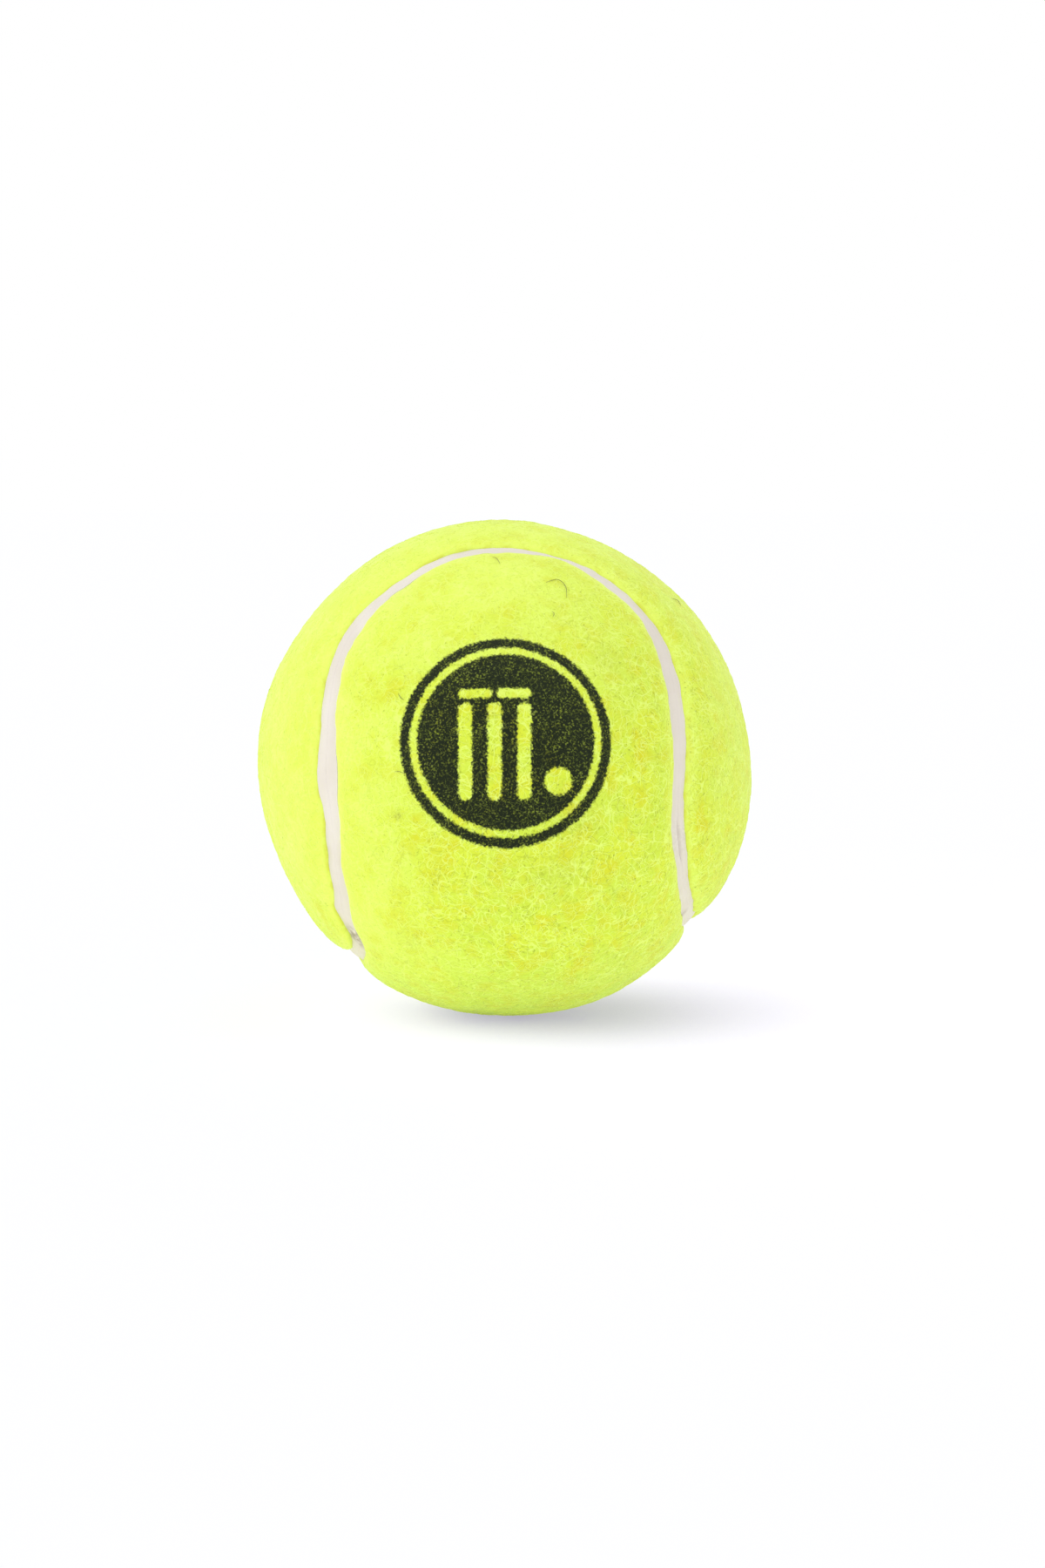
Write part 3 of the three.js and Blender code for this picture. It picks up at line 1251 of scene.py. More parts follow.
@dataclass
class Nap:
    """Loose curly fibres that lie on a felt panel.

    Attributes:
        panel: The panel.
        count: How many fibres lie on it.
        steps: Points along each.
        radius: Half a fibre's thickness in millimetres.
        lengths: Least and most length of a fibre.
        edge_clearance: How far they keep from the cut edge.
        tries: How many starts are drawn for each fibre that is kept.
        sparse_share: Share of the starts that is kept where the nap is thinnest.
        dense_lean: How much the densest part leans down from the front.
        dense_rise: Depths towards it between which the nap grows dense, in ball radii.
        curl: How much a fibre curls at each step, in radians.
        kink: How much it kinks at each step.
        seeds: Seeds of the draws, by cover.
        lifts: Least and most height of a fibre's middle above the nap.
        sunk: How deep its ends sink in.
        thicknesses: Least and most thickness, as a share of the radius.
        end_share: Share of the radius that is left at the ends.
    """

    panel: FeltPanel
    count: int = 6500
    steps: int = 6
    radius: float = 0.03
    lengths: Span = (1.0, 3.2)
    edge_clearance: float = 0.25
    tries: int = 8
    sparse_share: float = 0.6
    dense_lean: float = 0.7
    dense_rise: Span = (-0.2, 1.1)
    curl: float = 0.35
    kink: float = 0.45
    seeds: tuple[tuple[Side, int], ...] = ((Side.LOWER, 81), (Side.UPPER, 82))
    lifts: Span = (0.01, 0.06)
    sunk: float = 0.012
    thicknesses: Span = (0.7, 1.2)
    end_share: float = 0.45

    def _paths(self, draw: np.random.Generator) -> np.ndarray:
        """Draws the fibres' ways over the sphere.

        Args:
            draw: Random numbers.

        Returns:
            Unit vectors by fibre and step.
        """
        start = unit(draw.normal(size=(self.tries * self.count, 3)))
        inside = self.panel.nearest_edge(start)[1] > self.edge_clearance
        start = start[inside]
        dense = smooth_step(-start[:, 1] - self.dense_lean * start[:, 2], *self.dense_rise)
        kept = self.sparse_share + (1 - self.sparse_share) * dense
        start = start[draw.uniform(size=len(start)) < kept]
        length = draw.uniform(*self.lengths, size=len(start))
        step = (length / (self.steps - 1) / self.panel.form.ball_radius)[:, None]
        heading = tangent(start, unit(draw.normal(size=start.shape)))
        curl = draw.normal(0, self.curl, size=(len(start), 1))
        path = [start]
        for _ in range(self.steps - 1):
            turn = curl + draw.normal(0, self.kink, size=curl.shape)
            sideways = np.cross(path[-1], heading)
            heading = heading * np.cos(turn) + sideways * np.sin(turn)
            path.append(unit(path[-1] + heading * step))
            heading = unit(heading - path[-1] * (heading * path[-1]).sum(-1, keepdims=True))
        paths = np.stack(path, axis=1)
        beside = self.panel.nearest_edge(paths.reshape(-1, 3))[1].reshape(paths.shape[:2])
        return paths[beside.min(1) > self.edge_clearance][: self.count]

    def mesh(self, mark: PrintedMark) -> MeshParts:
        """Builds the fibres.

        Args:
            mark: The printed mark, which inks the fibres that cross it.

        Returns:
            Parts of the mesh.
        """
        draw = np.random.default_rng(dict(self.seeds)[self.panel.side])
        paths = self._paths(draw)
        flat = paths.reshape(-1, 3)
        ground = self.panel.surface_radius(flat).reshape(paths.shape[:2])
        arch = np.sin(math.pi * np.arange(self.steps) / (self.steps - 1))
        each = (len(paths), 1)
        lift = draw.uniform(*self.lifts, size=each) * arch - self.sunk
        thickness = self.radius * draw.uniform(*self.thicknesses, size=each)
        radii = thickness * (self.end_share + (1 - self.end_share) * arch)
        tone = np.repeat(draw.uniform(size=each), self.steps, axis=1)
        height = self.panel.form.above_floor(paths, ground + lift + radii) - radii
        strands = Strands(paths * height[..., None], paths, radii)
        ink = mark.distance(flat).reshape(paths.shape[:2])
        return strands.mesh({Attribute.TONE: tone, Attribute.INK_DISTANCE: ink})


@dataclass
class StrayHairs:
    """A few dark hairs and lint threads caught in the felt.

    Attributes:
        panels: Both felt panels.
        view: The photograph's view.
        traces: Each hair that the photograph shows, as pixels along it.
        unseen: How many more are strewn where the photograph doesn't look.
        steps: Points along each.
        radius: Half a hair's thickness in millimetres.
        seam_clearance: How far they keep from the felt's cut edge.
        rounds: How often a traced hair is smoothed.
        far_side: Where the unseen hairs gather, as a pull on their unit vectors.
        curl: How much an unseen hair curls at each step, in radians.
        step: Length of its steps, in ball radii.
        seed: Seed of the draws.
        lift: Height of a hair's ends above the nap.
        arch: How much higher its middle is.
        end_share: Share of the radius that is left at the ends.
        sides: Sides of a hair.
    """

    panels: list[FeltPanel]
    view: PhotoView
    traces: tuple[tuple[Pixel, ...], ...]
    unseen: int = 12
    steps: int = 14
    radius: float = 0.035
    seam_clearance: float = 0.6
    rounds: int = 3
    far_side: Place = (0, 2.2, 0.2)
    curl: float = 0.25
    step: float = 0.006
    seed: int = 91
    lift: float = 0.05
    arch: float = 0.12
    end_share: float = 0.4
    sides: int = 5

    def _trace_paths(self) -> list[np.ndarray]:
        """Draws smooth ways through the hairs' pixels.

        Returns:
            Unit vectors along each hair.
        """
        paths = []
        shares = np.linspace(0, 1, self.steps)
        for trace in self.traces:
            knots = np.array([self.view.direction_at(pixel) for pixel in trace])
            places = np.linspace(0, 1, len(knots))
            path = np.stack([np.interp(shares, places, knots[:, a]) for a in range(3)], axis=-1)
            for _ in range(self.rounds):
                path[1:-1] = (path[:-2] + 2 * path[1:-1] + path[2:]) / 4
            paths.append(unit(path))
        return paths

    def _unseen_paths(self, draw: np.random.Generator) -> list[np.ndarray]:
        """Draws curled ways on the far side of the ball.

        Args:
            draw: Random numbers.

        Returns:
            Unit vectors along each hair.
        """
        paths = []
        for _ in range(self.unseen):
            place = unit(draw.normal(size=3) + np.array(self.far_side))
            heading = tangent(place, unit(draw.normal(size=3)))
            curl = draw.normal(0, self.curl)
            path = [place]
            for _ in range(self.steps - 1):
                sideways = np.cross(path[-1], heading)
                heading = heading * math.cos(curl) + sideways * math.sin(curl)
                path.append(unit(path[-1] + heading * self.step))
                heading = tangent(path[-1], path[-1] + heading)
            paths.append(np.array(path))
        return paths

    def mesh(self) -> MeshParts:
        """Builds the hairs.

        Returns:
            Parts of the mesh.
        """
        draw = np.random.default_rng(self.seed)
        paths = np.array(self._trace_paths() + self._unseen_paths(draw))
        radius = np.zeros(paths.shape[:2])
        clear = np.zeros(len(paths), dtype=bool)
        for panel in self.panels:
            beside = panel.nearest_edge(paths.reshape(-1, 3))[1].reshape(radius.shape)
            ground = panel.surface_radius(paths.reshape(-1, 3)).reshape(radius.shape)
            radius = np.where(beside > 0, ground, radius)
            clear |= beside.min(1) > self.seam_clearance
        paths, radius = paths[clear], radius[clear]
        arch = np.sin(math.pi * np.arange(self.steps) / (self.steps - 1))
        height = radius + self.lift + self.arch * arch
        taper = self.end_share + (1 - self.end_share) * arch
        thickness = self.radius * taper * np.ones((len(paths), 1))
        strands = Strands(paths * height[..., None], paths, thickness, sides=self.sides)
        tone = np.repeat(draw.uniform(size=(len(paths), 1)), self.steps, axis=1)
        return strands.mesh({Attribute.TONE: tone})


# Materials


class ShaderGraph:
    """The node tree of a material or a world, written as short calls."""

    def __init__(self, name: str, of_world: bool = False) -> None:
        """Starts an empty tree.

        Args:
            name: The name of the new material or world.
            of_world: Whether it is a world.
        """
        self.owner = (bpy.data.worlds if of_world else bpy.data.materials).new(name)
        self.owner.use_nodes = True
        self.tree = self.owner.node_tree
        self.tree.nodes.clear()
        kind = "ShaderNodeOutputWorld" if of_world else "ShaderNodeOutputMaterial"
        self.output = self.tree.nodes.new(kind)
        self._position: Socket | None = None

    def node(self, kind: str, inputs: NodeInputs, **settings: str) -> bpy.types.Node:
        """Adds a node.

        Args:
            kind: Blender's name for the kind of node.
            inputs: Values or sockets, by the input's name or number.
            settings: Other properties of the node.

        Returns:
            The node.
        """
        made = self.tree.nodes.new(kind)
        for name, value in settings.items():
            setattr(made, name, value)
        for name, value in inputs.items():
            if isinstance(value, bpy.types.NodeSocket):
                self.tree.links.new(value, made.inputs[name])
            else:
                made.inputs[name].default_value = value
        return made

    def position(self) -> Socket:
        """Finds the shaded place, which moves with the piece.

        Returns:
            The place in millimetres.
        """
        if self._position is None:
            place = self.node("ShaderNodeTexCoord", {}).outputs["Object"]
            inputs = {0: place, "Scale": 1 / METRES_PER_MM}
            scaled = self.node("ShaderNodeVectorMath", inputs, operation="SCALE")
            self._position = scaled.outputs[0]
        return self._position

    def value(self, attribute: Attribute) -> Socket:
        """A value that the mesh carries."""
        return self.node("ShaderNodeAttribute", {}, attribute_name=attribute.value).outputs["Fac"]

    def noise(
        self, wavelength: float, detail: float, place: Socket | None, shift: float
    ) -> bpy.types.Node:
        """Adds a noise texture.

        Args:
            wavelength: Size of its largest blobs, in millimetres.
            detail: Octaves of finer noise.
            place: Where it is evaluated, or None for the shaded place.
            shift: Offset of the fourth coordinate, which makes each noise another one.

        Returns:
            The node, with the outputs Fac and Color.
        """
        inputs = {
            "Vector": place or self.position(),
            "W": shift,
            "Scale": 1 / wavelength,
            "Detail": detail,
        }
        return self.node("ShaderNodeTexNoise", inputs, noise_dimensions="4D")

    def grain(self, wavelength: float, detail: float, shift: float) -> Socket:
        """The grey value of a noise at the shaded place, about 0.5."""
        return self.noise(wavelength, detail, None, shift).outputs["Fac"]

    def split(self, noise: bpy.types.Node) -> tuple[Socket, ...]:
        """The three colour channels of a noise, each a noise of its own."""
        return tuple(self.node("ShaderNodeSeparateColor", {0: noise.outputs["Color"]}).outputs)

    def math(self, operation: str, *values: Socket | float) -> Socket:
        """One arithmetic step."""
        inputs = dict(enumerate(values))
        return self.node("ShaderNodeMath", inputs, operation=operation).outputs[0]

    def times(self, first: Socket | float, second: Socket | float) -> Socket:
        """Product of two values."""
        return self.math("MULTIPLY", first, second)

    def highest(self, first: Socket | float, second: Socket | float) -> Socket:
        """The higher of two values."""
        return self.math("MAXIMUM", first, second)

    def rise(self, value: Socket, low: float, high: float) -> Socket:
        """Rises smoothly from 0 to 1.

        Args:
            value: What it follows.
            low: Value at which it starts.
            high: Value at which it is 1.

        Returns:
            The share.
        """
        inputs = {"Value": value, "From Min": low, "From Max": high}
        made = self.node("ShaderNodeMapRange", inputs, interpolation_type="SMOOTHSTEP")
        return made.outputs["Result"]

    def fall(self, value: Socket, low: float, high: float) -> Socket:
        """Falls smoothly from 1 where the value is low to 0 where it is high."""
        return self.math("SUBTRACT", 1.0, self.rise(value, low, high))

    def mix(self, share: Socket | float, first: Socket | Colour, second: Socket | Colour) -> Socket:
        """Mixes two colours.

        Args:
            share: Share of the second.
            first: The first colour.
            second: The second colour.

        Returns:
            The mixed colour.
        """
        first = (*first, 1.0) if isinstance(first, tuple) else first
        second = (*second, 1.0) if isinstance(second, tuple) else second
        inputs = {0: share, 6: first, 7: second}
        return self.node("ShaderNodeMix", inputs, data_type="RGBA").outputs[2]

    def warped(self, amount: float, wavelength: float, shift: float) -> Socket:
        """The shaded place pushed about by noise.

        Args:
            amount: How far it is pushed, in millimetres.
            wavelength: Size of the noise.
            shift: Which noise.

        Returns:
            The pushed place.
        """
        push = self.noise(wavelength, 1.0, None, shift).outputs["Color"]
        inputs = {0: push, 1: (2 * amount,) * 3, 2: self.position()}
        return self.node("ShaderNodeVectorMath", inputs, operation="MULTIPLY_ADD").outputs[0]

    def bump(self, height: Socket, depth: float, below: Socket | None = None) -> Socket:
        """Adds relief.

        Args:
            height: Height from 0 to 1.
            depth: Height of 1, in millimetres.
            below: Another relief's normal.

        Returns:
            The new normal.
        """
        inputs = {"Height": height, "Distance": depth * METRES_PER_MM, "Strength": 1.0}
        if below is not None:
            inputs["Normal"] = below
        return self.node("ShaderNodeBump", inputs).outputs["Normal"]

    def finish(
        self, inputs: NodeInputs, kind: str = "ShaderNodeBsdfPrincipled"
    ) -> bpy.types.Material | bpy.types.World:
        """Ends the tree in a shader.

        Args:
            inputs: The shader's inputs.
            kind: Blender's name for the kind of shader.

        Returns:
            The material or the world.
        """
        shader = self.node(kind, inputs)
        self.tree.links.new(shader.outputs[0], self.output.inputs["Surface"])
        return self.owner


@dataclass(frozen=True)
class Ink:
    """Dark printing ink on felt, frayed at its edges and speckled by fibres that it missed.

    Attributes:
        colour: Its linear colour.
        fray: How far its edge wavers, in millimetres.
        blur: Half the width of the edge's fade, in millimetres.
        least_missed: How light the missed fibres are where the ink is thick, from 0 to 1.
        most_missed: The same where it is thin.
    """

    colour: Colour = (0.009, 0.014, 0.006)
    fray: float = 0.5
    blur: float = 0.2
    least_missed: float = 0.1
    most_missed: float = 0.36

    def over(self, graph: ShaderGraph, under: Socket) -> Socket:
        """Prints over a colour.

        Args:
            graph: The material's graph.
            under: The colour below.

        Returns:
            The printed colour.
        """
        waver = graph.math("SUBTRACT", graph.grain(0.3, 2.0, 31), 0.5)
        distance = graph.value(Attribute.INK_DISTANCE)
        frayed = graph.math("MULTIPLY_ADD", waver, self.fray * 2, distance)
        inked = graph.fall(frayed, -self.blur, self.blur)
        missed = graph.rise(graph.grain(0.24, 2.0, 32), 0.5, 0.72)
        thin = graph.rise(graph.grain(3.0, 2.0, 33), 0.3, 0.75)
        more = self.most_missed - self.least_missed
        share = graph.math("MULTIPLY_ADD", thin, more, self.least_missed)
        printed = graph.math("SUBTRACT", 1.0, graph.times(missed, share))
        return graph.mix(graph.times(inked, printed), under, self.colour)


@dataclass(frozen=True)
class StainOrPaintedShade:
    """A dirty place; on the felt, some are patches of painted contact shade.

    Attributes:
        place: Where it is, in millimetres.
        strength: How much it covers in its middle, from 0 to 1.
        reach: How far it reaches, in millimetres.
        core: Share of the reach over which it is strongest.
    """

    place: Place
    strength: float
    reach: float
    core: float = 0.1

    @classmethod
    def at_spot(cls, spot: Spot, view: PhotoView) -> StainOrPaintedShade:
        """The stain at a spot of the photograph."""
        place = view.direction_at(spot.pixel) * view.ball_radius
        return cls(tuple(float(c) for c in place), spot.amount, spot.reach)

    def over(self, graph: ShaderGraph) -> Socket:
        """Lays the stain over a surface.

        Args:
            graph: The material's graph.

        Returns:
            How much it covers the shaded place, from 0 to 1.
        """
        inputs = {0: graph.position(), 1: self.place}
        away = graph.node("ShaderNodeVectorMath", inputs, operation="DISTANCE").outputs["Value"]
        return graph.times(graph.fall(away, self.core * self.reach, self.reach), self.strength)


@dataclass(frozen=True)
class FibreLines:
    """Curled fibres drawn as the level lines of warped noise, three tangles to a layer.

    Attributes:
        size: Size of the fibres' loops, in millimetres.
        width: How near the noise comes to its level on a line, which makes the line's width.
        shift: Which noise.
        length: Length of the pieces that the lines break into, in millimetres.
        kink: How far small kinks push a line aside, in millimetres.
        kink_size: Size of the kinks.
        sharpness: Share of a line's width that is solid.
        broken: Values of a second noise between which a line comes out of a break.
    """

    size: float
    width: float
    shift: int
    length: float = 2.6
    kink: float = 0.2
    kink_size: float = 0.8
    sharpness: float = 0.15
    broken: Span = (0.42, 0.52)

    def over(self, graph: ShaderGraph) -> Socket:
        """Draws the lines.

        Args:
            graph: The material's graph.

        Returns:
            1 on a fibre and 0 beside it.
        """
        place = graph.warped(self.kink, self.kink_size, 40 + self.shift)
        tangles = graph.split(graph.noise(self.size, 0.0, place, 50 + self.shift))
        pieces = graph.split(graph.noise(self.length, 0.0, None, 60 + self.shift))
        total: Socket | float = 0.0
        for tangle, piece in zip(tangles, pieces):
            off = graph.math("ABSOLUTE", graph.math("SUBTRACT", tangle, 0.5))
            line = graph.fall(off, self.sharpness * self.width, self.width)
            total = graph.highest(total, graph.times(line, graph.rise(piece, *self.broken)))
        return total


@dataclass(frozen=True)
class FeltFinish:
    """Fluorescent needle felt.

    Attributes:
        stains: The stained places, and patches of painted contact shade along the ball's bottom.
        stain: Linear colour of the stains and of the painted contact shade.
        edge: A paler colour beside the seam: painted light that offsets the shade of the rounded
            shoulder there.
        ground: Colour between the fibres where the nap is rough.
        smooth: The same where the nap lies smooth, and painted paler as painted light where the
            ball is lit and at its limbs.
        ochre: The ground where it is worn thin.
        gap_shade: Painted shade down between the fibres, in the low places of the fine grain.
        fibre: Colour of the fibres at the top.
        smooth_fibre: The same where the nap lies smooth and is painted paler.
        pit: Ochre-yellow in the pits and blotches, partly the felt's own ochre and partly painted
            shade down in the pits.
        speck: Olive specks and stray fibres.
        cut: Darker olive at the cut edge beside the seam, partly the cut's own colour and partly
            painted shade where the felt drops into the seam.
        pale_lines: The light fibres.
        dark_lines: The few dark ones.
        calm: How much of the pattern a smooth nap hides.
        least_fibres: How much the light fibres show on a smooth nap, from 0 to 1.
        most_fibres: The same on a rough one.
        edge_paleness_and_light: How much paler the felt is beside the seam, partly its own paleness
            and partly painted light against the shoulder's shade.
        edge_share: How much the painted edge light shows there.
        gap_shade_share: How much that painted shade shows.
        dip_and_shade_share: How much the pits, with their painted shade, and the ochre blotches
            show.
        dark_share: How much the dark fibres show.
        sheen_tint: Colour of the sheen.
    """

    stains: tuple[StainOrPaintedShade, ...]
    stain: Colour = (0.42, 0.47, 0.06)
    edge: Colour = (0.88, 1.0, 0.2)
    ground: Colour = (0.625, 0.81, 0.07)
    smooth: Colour = (0.775, 0.955, 0.142)
    ochre: Colour = (0.69, 0.82, 0.053)
    gap_shade: Colour = (0.575, 0.725, 0.05)
    fibre: Colour = (0.81, 1.0, 0.235)
    smooth_fibre: Colour = (0.84, 1.0, 0.22)
    pit: Colour = (0.67, 0.665, 0.02)
    speck: Colour = (0.36, 0.43, 0.03)
    cut: Colour = (0.66, 0.68, 0.055)
    pale_lines: tuple[FibreLines, ...] = (
        FibreLines(3.6, 0.008, 0, 1.9, 0.2),
        FibreLines(2.5, 0.0115, 1, 1.5, 0.16),
        FibreLines(1.6, 0.018, 2, 1.1, 0.14),
    )
    dark_lines: FibreLines = FibreLines(1.8, 0.016, 7)
    calm: float = 0.65
    least_fibres: float = 0.25
    most_fibres: float = 0.66
    edge_paleness_and_light: float = 0.35
    edge_share: float = 0.28
    gap_shade_share: float = 0.6
    dip_and_shade_share: float = 0.85
    dark_share: float = 0.4
    sheen_tint: Colour = (0.88, 1.0, 0.62)

    def _ground(self, graph: ShaderGraph, smooth: Socket, rough: Socket, grain: Socket) -> Socket:
        """Colours the felt below its top fibres.

        Args:
            graph: The material's graph.
            smooth: Where the nap is pale, from smooth nap and from painted light.
            rough: How strong the pattern is.
            grain: The finest noise.

        Returns:
            The colour.
        """
        cloud = graph.rise(graph.grain(9.0, 3.0, 1), 0.3, 0.7)
        pale = graph.math("MULTIPLY_ADD", cloud, 0.25, smooth)
        colour = graph.mix(pale, self.ground, self.smooth)
        worn = graph.rise(graph.grain(4.5, 3.0, 12), 0.4, 0.62)
        colour = graph.mix(graph.times(worn, rough), colour, self.ochre)
        # Painted shade down between the fibres, where the fine grain's bump is low.
        gap_shade_mask = graph.times(graph.fall(grain, 0.34, 0.56), self.gap_shade_share)
        colour = graph.mix(graph.times(gap_shade_mask, rough), colour, self.gap_shade)
        # Pits get painted shade, and the blotches the felt's own ochre, in one darker ochre-yellow.
        blobs = graph.rise(graph.grain(2.8, 3.0, 13), 0.49, 0.67)
        pits = graph.times(graph.value(Attribute.PIT), 0.6)
        dips_and_pit_shade = graph.highest(pits, graph.times(blobs, graph.math("MULTIPLY_ADD", worn, 0.6, 0.4)))
        dips_and_pit_shade = graph.times(dips_and_pit_shade, graph.times(rough, self.dip_and_shade_share))
        return graph.mix(dips_and_pit_shade, colour, self.pit)

    def material(self) -> bpy.types.Material:
        """Builds the material.

        Returns:
            The felt's material.
        """
        graph = ShaderGraph("needle_felt")
        beside = graph.value(Attribute.SEAM_DISTANCE)
        # The smooth map also carries painted light: paler felt where the ball is lit and at its
        # limbs.
        smooth = graph.value(Attribute.SMOOTH)
        rough = graph.math("SUBTRACT", 1.0, graph.times(smooth, self.calm))
        rough = graph.times(rough, graph.rise(beside, 0.0, 0.5))
        grain = graph.grain(0.33, 2.0, 3)
        # Paler beside the seam: partly the nap's own paleness, partly painted light against the
        # shoulder's shade.
        pale_and_lit_beside_seam = graph.times(graph.fall(beside, 0.6, 3.2), self.edge_paleness_and_light)
        pale = graph.math("ADD", smooth, pale_and_lit_beside_seam)
        colour = self._ground(graph, pale, rough, grain)
        # Painted light: a paler colour on the shoulder beside the seam, which offsets its shade.
        painted_edge_light = graph.times(graph.fall(beside, 0.2, 2.0), self.edge_share)
        colour = graph.mix(painted_edge_light, colour, self.edge)
        specks = graph.rise(graph.grain(0.4, 2.0, 4), 0.59, 0.76)
        dark = graph.highest(graph.times(self.dark_lines.over(graph), self.dark_share), specks)
        colour = graph.mix(graph.times(dark, rough), colour, self.speck)
        fibres: Socket | float = 0.0
        for lines in self.pale_lines:
            fibres = graph.highest(fibres, lines.over(graph))
        worked = graph.math("MULTIPLY_ADD", graph.fall(grain, 0.35, 0.6), 0.6, 0.4)
        more = self.most_fibres - self.least_fibres
        shown = graph.math("MULTIPLY_ADD", rough, more, self.least_fibres)
        light = graph.mix(smooth, self.fibre, self.smooth_fibre)
        colour = graph.mix(graph.times(fibres, shown), colour, light)
        # The stains include painted contact shade along the ball's bottom.
        for stain in self.stains:
            colour = graph.mix(graph.times(stain.over(graph), worked), colour, self.stain)
        # The cut edge's broken darker line: partly its own colour, partly painted shade where the
        # felt drops into the seam.
        bare = graph.times(graph.rise(graph.grain(1.8, 2.0, 14), 0.4, 0.62), 0.6)
        cut = graph.times(graph.fall(beside, 0.02, 0.4), bare)
        colour = Ink().over(graph, graph.mix(cut, colour, self.cut))
        tuft = graph.grain(1.3, 3.0, 2)
        relief = graph.bump(fibres, 0.004, graph.bump(grain, 0.012))
        return graph.finish(
            {
                "Base Color": colour,
                "Roughness": graph.math("MULTIPLY_ADD", grain, 0.2, 0.8),
                "Specular IOR Level": 0.1,
                "Sheen Weight": 0.35,
                "Sheen Roughness": 0.5,
                "Sheen Tint": (*self.sheen_tint, 1.0),
                "Normal": graph.bump(tuft, 0.03, relief),
            }
        )


@dataclass(frozen=True)
class FibreFinish:
    """Single wool and nylon fibres of the nap.

    Attributes:
        dull: Linear colour of the dullest.
        bright: Colour of the brightest.
        sheen_tint: Colour of the sheen.
    """

    dull: Colour = (0.84, 1.0, 0.15)
    bright: Colour = (0.9, 1.0, 0.25)
    sheen_tint: Colour = (0.8, 1.0, 0.2)

    def material(self) -> bpy.types.Material:
        """Builds the material.

        Returns:
            The loose fibres' material.
        """
        graph = ShaderGraph("nap_fibre")
        tone = graph.value(Attribute.TONE)
        dye = graph.grain(0.8, 2.0, 5)
        share = graph.math("MULTIPLY_ADD", graph.rise(dye, 0.3, 0.7), 0.4, tone)
        colour = graph.mix(graph.rise(share, 0.1, 1.2), self.dull, self.bright)
        return graph.finish(
            {
                "Base Color": Ink().over(graph, colour),
                "Roughness": graph.math("MULTIPLY_ADD", dye, 0.2, 0.75),
                "Specular IOR Level": 0.0,
                "Sheen Weight": 0.5,
                "Sheen Tint": (*self.sheen_tint, 1.0),
            }
        )


@dataclass(frozen=True)
class HairFinish:
    """Dark hairs and lint.

    Attributes:
        dark: Linear colour of the darkest.
        light: Colour of the lightest.
    """

    dark: Colour = (0.05, 0.045, 0.015)
    light: Colour = (0.22, 0.2, 0.06)

    def material(self) -> bpy.types.Material:
        """Builds the material.

        Returns:
            The stray hairs' material.
        """
        graph = ShaderGraph("stray_hair")
        length = graph.grain(0.9, 2.0, 6)
        share = graph.math("MULTIPLY_ADD", length, 0.8, graph.value(Attribute.TONE))
        return graph.finish(
            {
                "Base Color": graph.mix(graph.rise(share, 0.2, 1.5), self.dark, self.light),
                "Roughness": graph.math("MULTIPLY_ADD", length, 0.3, 0.4),
            }
        )


@dataclass(frozen=True)
class SeamRubberFinish:
    """White rubber of the seam, handled and a little soiled.

    Attributes:
        stains: The soiled places.
        clean: Linear colour of the clean rubber.
        pink: Its warmer patches.
        soil: Colour of the soiling.
        dust: Colour of the dust on it.
        dust_share: How much the dust covers.
        inside: Painted shade down in a parting between the coats.
        parting_shade_share: How much that painted shade shows.
    """

    stains: tuple[StainOrPaintedShade, ...]
    clean: Colour = (0.78, 0.73, 0.67)
    pink: Colour = (0.735, 0.675, 0.61)
    soil: Colour = (0.27, 0.22, 0.13)
    dust: Colour = (0.7, 0.64, 0.56)
    dust_share: float = 0.22
    inside: Colour = (0.45, 0.4, 0.36)
    parting_shade_share: float = 0.35

    def material(self) -> bpy.types.Material:
        """Builds the material.

        Returns:
            The seam's material.
        """
        graph = ShaderGraph("seam_rubber")
        cloud = graph.grain(6.0, 3.0, 7)
        fine = graph.grain(0.5, 3.0, 8)
        soiled: Socket | float = 0.0
        for stain in self.stains:
            soiled = graph.highest(soiled, stain.over(graph))
        smeared = graph.rise(graph.grain(1.1, 3.0, 9), 0.32, 0.58)
        soiled = graph.times(soiled, smeared)
        dust = graph.times(graph.rise(fine, 0.55, 0.8), self.dust_share)
        # Painted shade down in the partings between the coats.
        parted = graph.rise(graph.value(Attribute.OPENING), 0.03, 0.3)
        parted = graph.times(parted, graph.rise(fine, 0.3, 0.62))
        colour = graph.mix(graph.rise(cloud, 0.35, 0.65), self.clean, self.pink)
        colour = graph.mix(dust, colour, self.dust)
        colour = graph.mix(graph.times(parted, self.parting_shade_share), colour, self.inside)
        colour = graph.mix(soiled, colour, self.soil)
        return graph.finish(
            {
                "Base Color": colour,
                "Roughness": graph.math("MULTIPLY_ADD", fine, 0.25, 0.5),
                "Specular IOR Level": 0.3,
                "Normal": graph.bump(fine, 0.02, graph.bump(cloud, 0.05)),
            }
        )


@dataclass(frozen=True)
class InnerRubberFinish:
    """A rubber layer inside the ball.

    Attributes:
        name: The material's name.
        base: Its linear colour.
        patch: Colour of its patches.
        roughness: Its least roughness.
        grain: Size of its grain in millimetres.
        relief: Depth of its grain in millimetres.
    """

    name: str
    base: Colour
    patch: Colour
    roughness: float
    grain: float
    relief: float

    def material(self) -> bpy.types.Material:
        """Builds the material.

        Returns:
            The layer's material.
        """
        graph = ShaderGraph(self.name)
        cloud = graph.grain(7.0, 3.0, 10)
        grain = graph.grain(self.grain, 3.0, 11)
        share = graph.math("MULTIPLY_ADD", grain, 0.5, cloud)
        return graph.finish(
            {
                "Base Color": graph.mix(graph.rise(share, 0.5, 1.0), self.base, self.patch),
                "Roughness": graph.math("MULTIPLY_ADD", grain, 0.2, self.roughness),
                "Normal": graph.bump(grain, self.relief),
            }
        )


# The studio


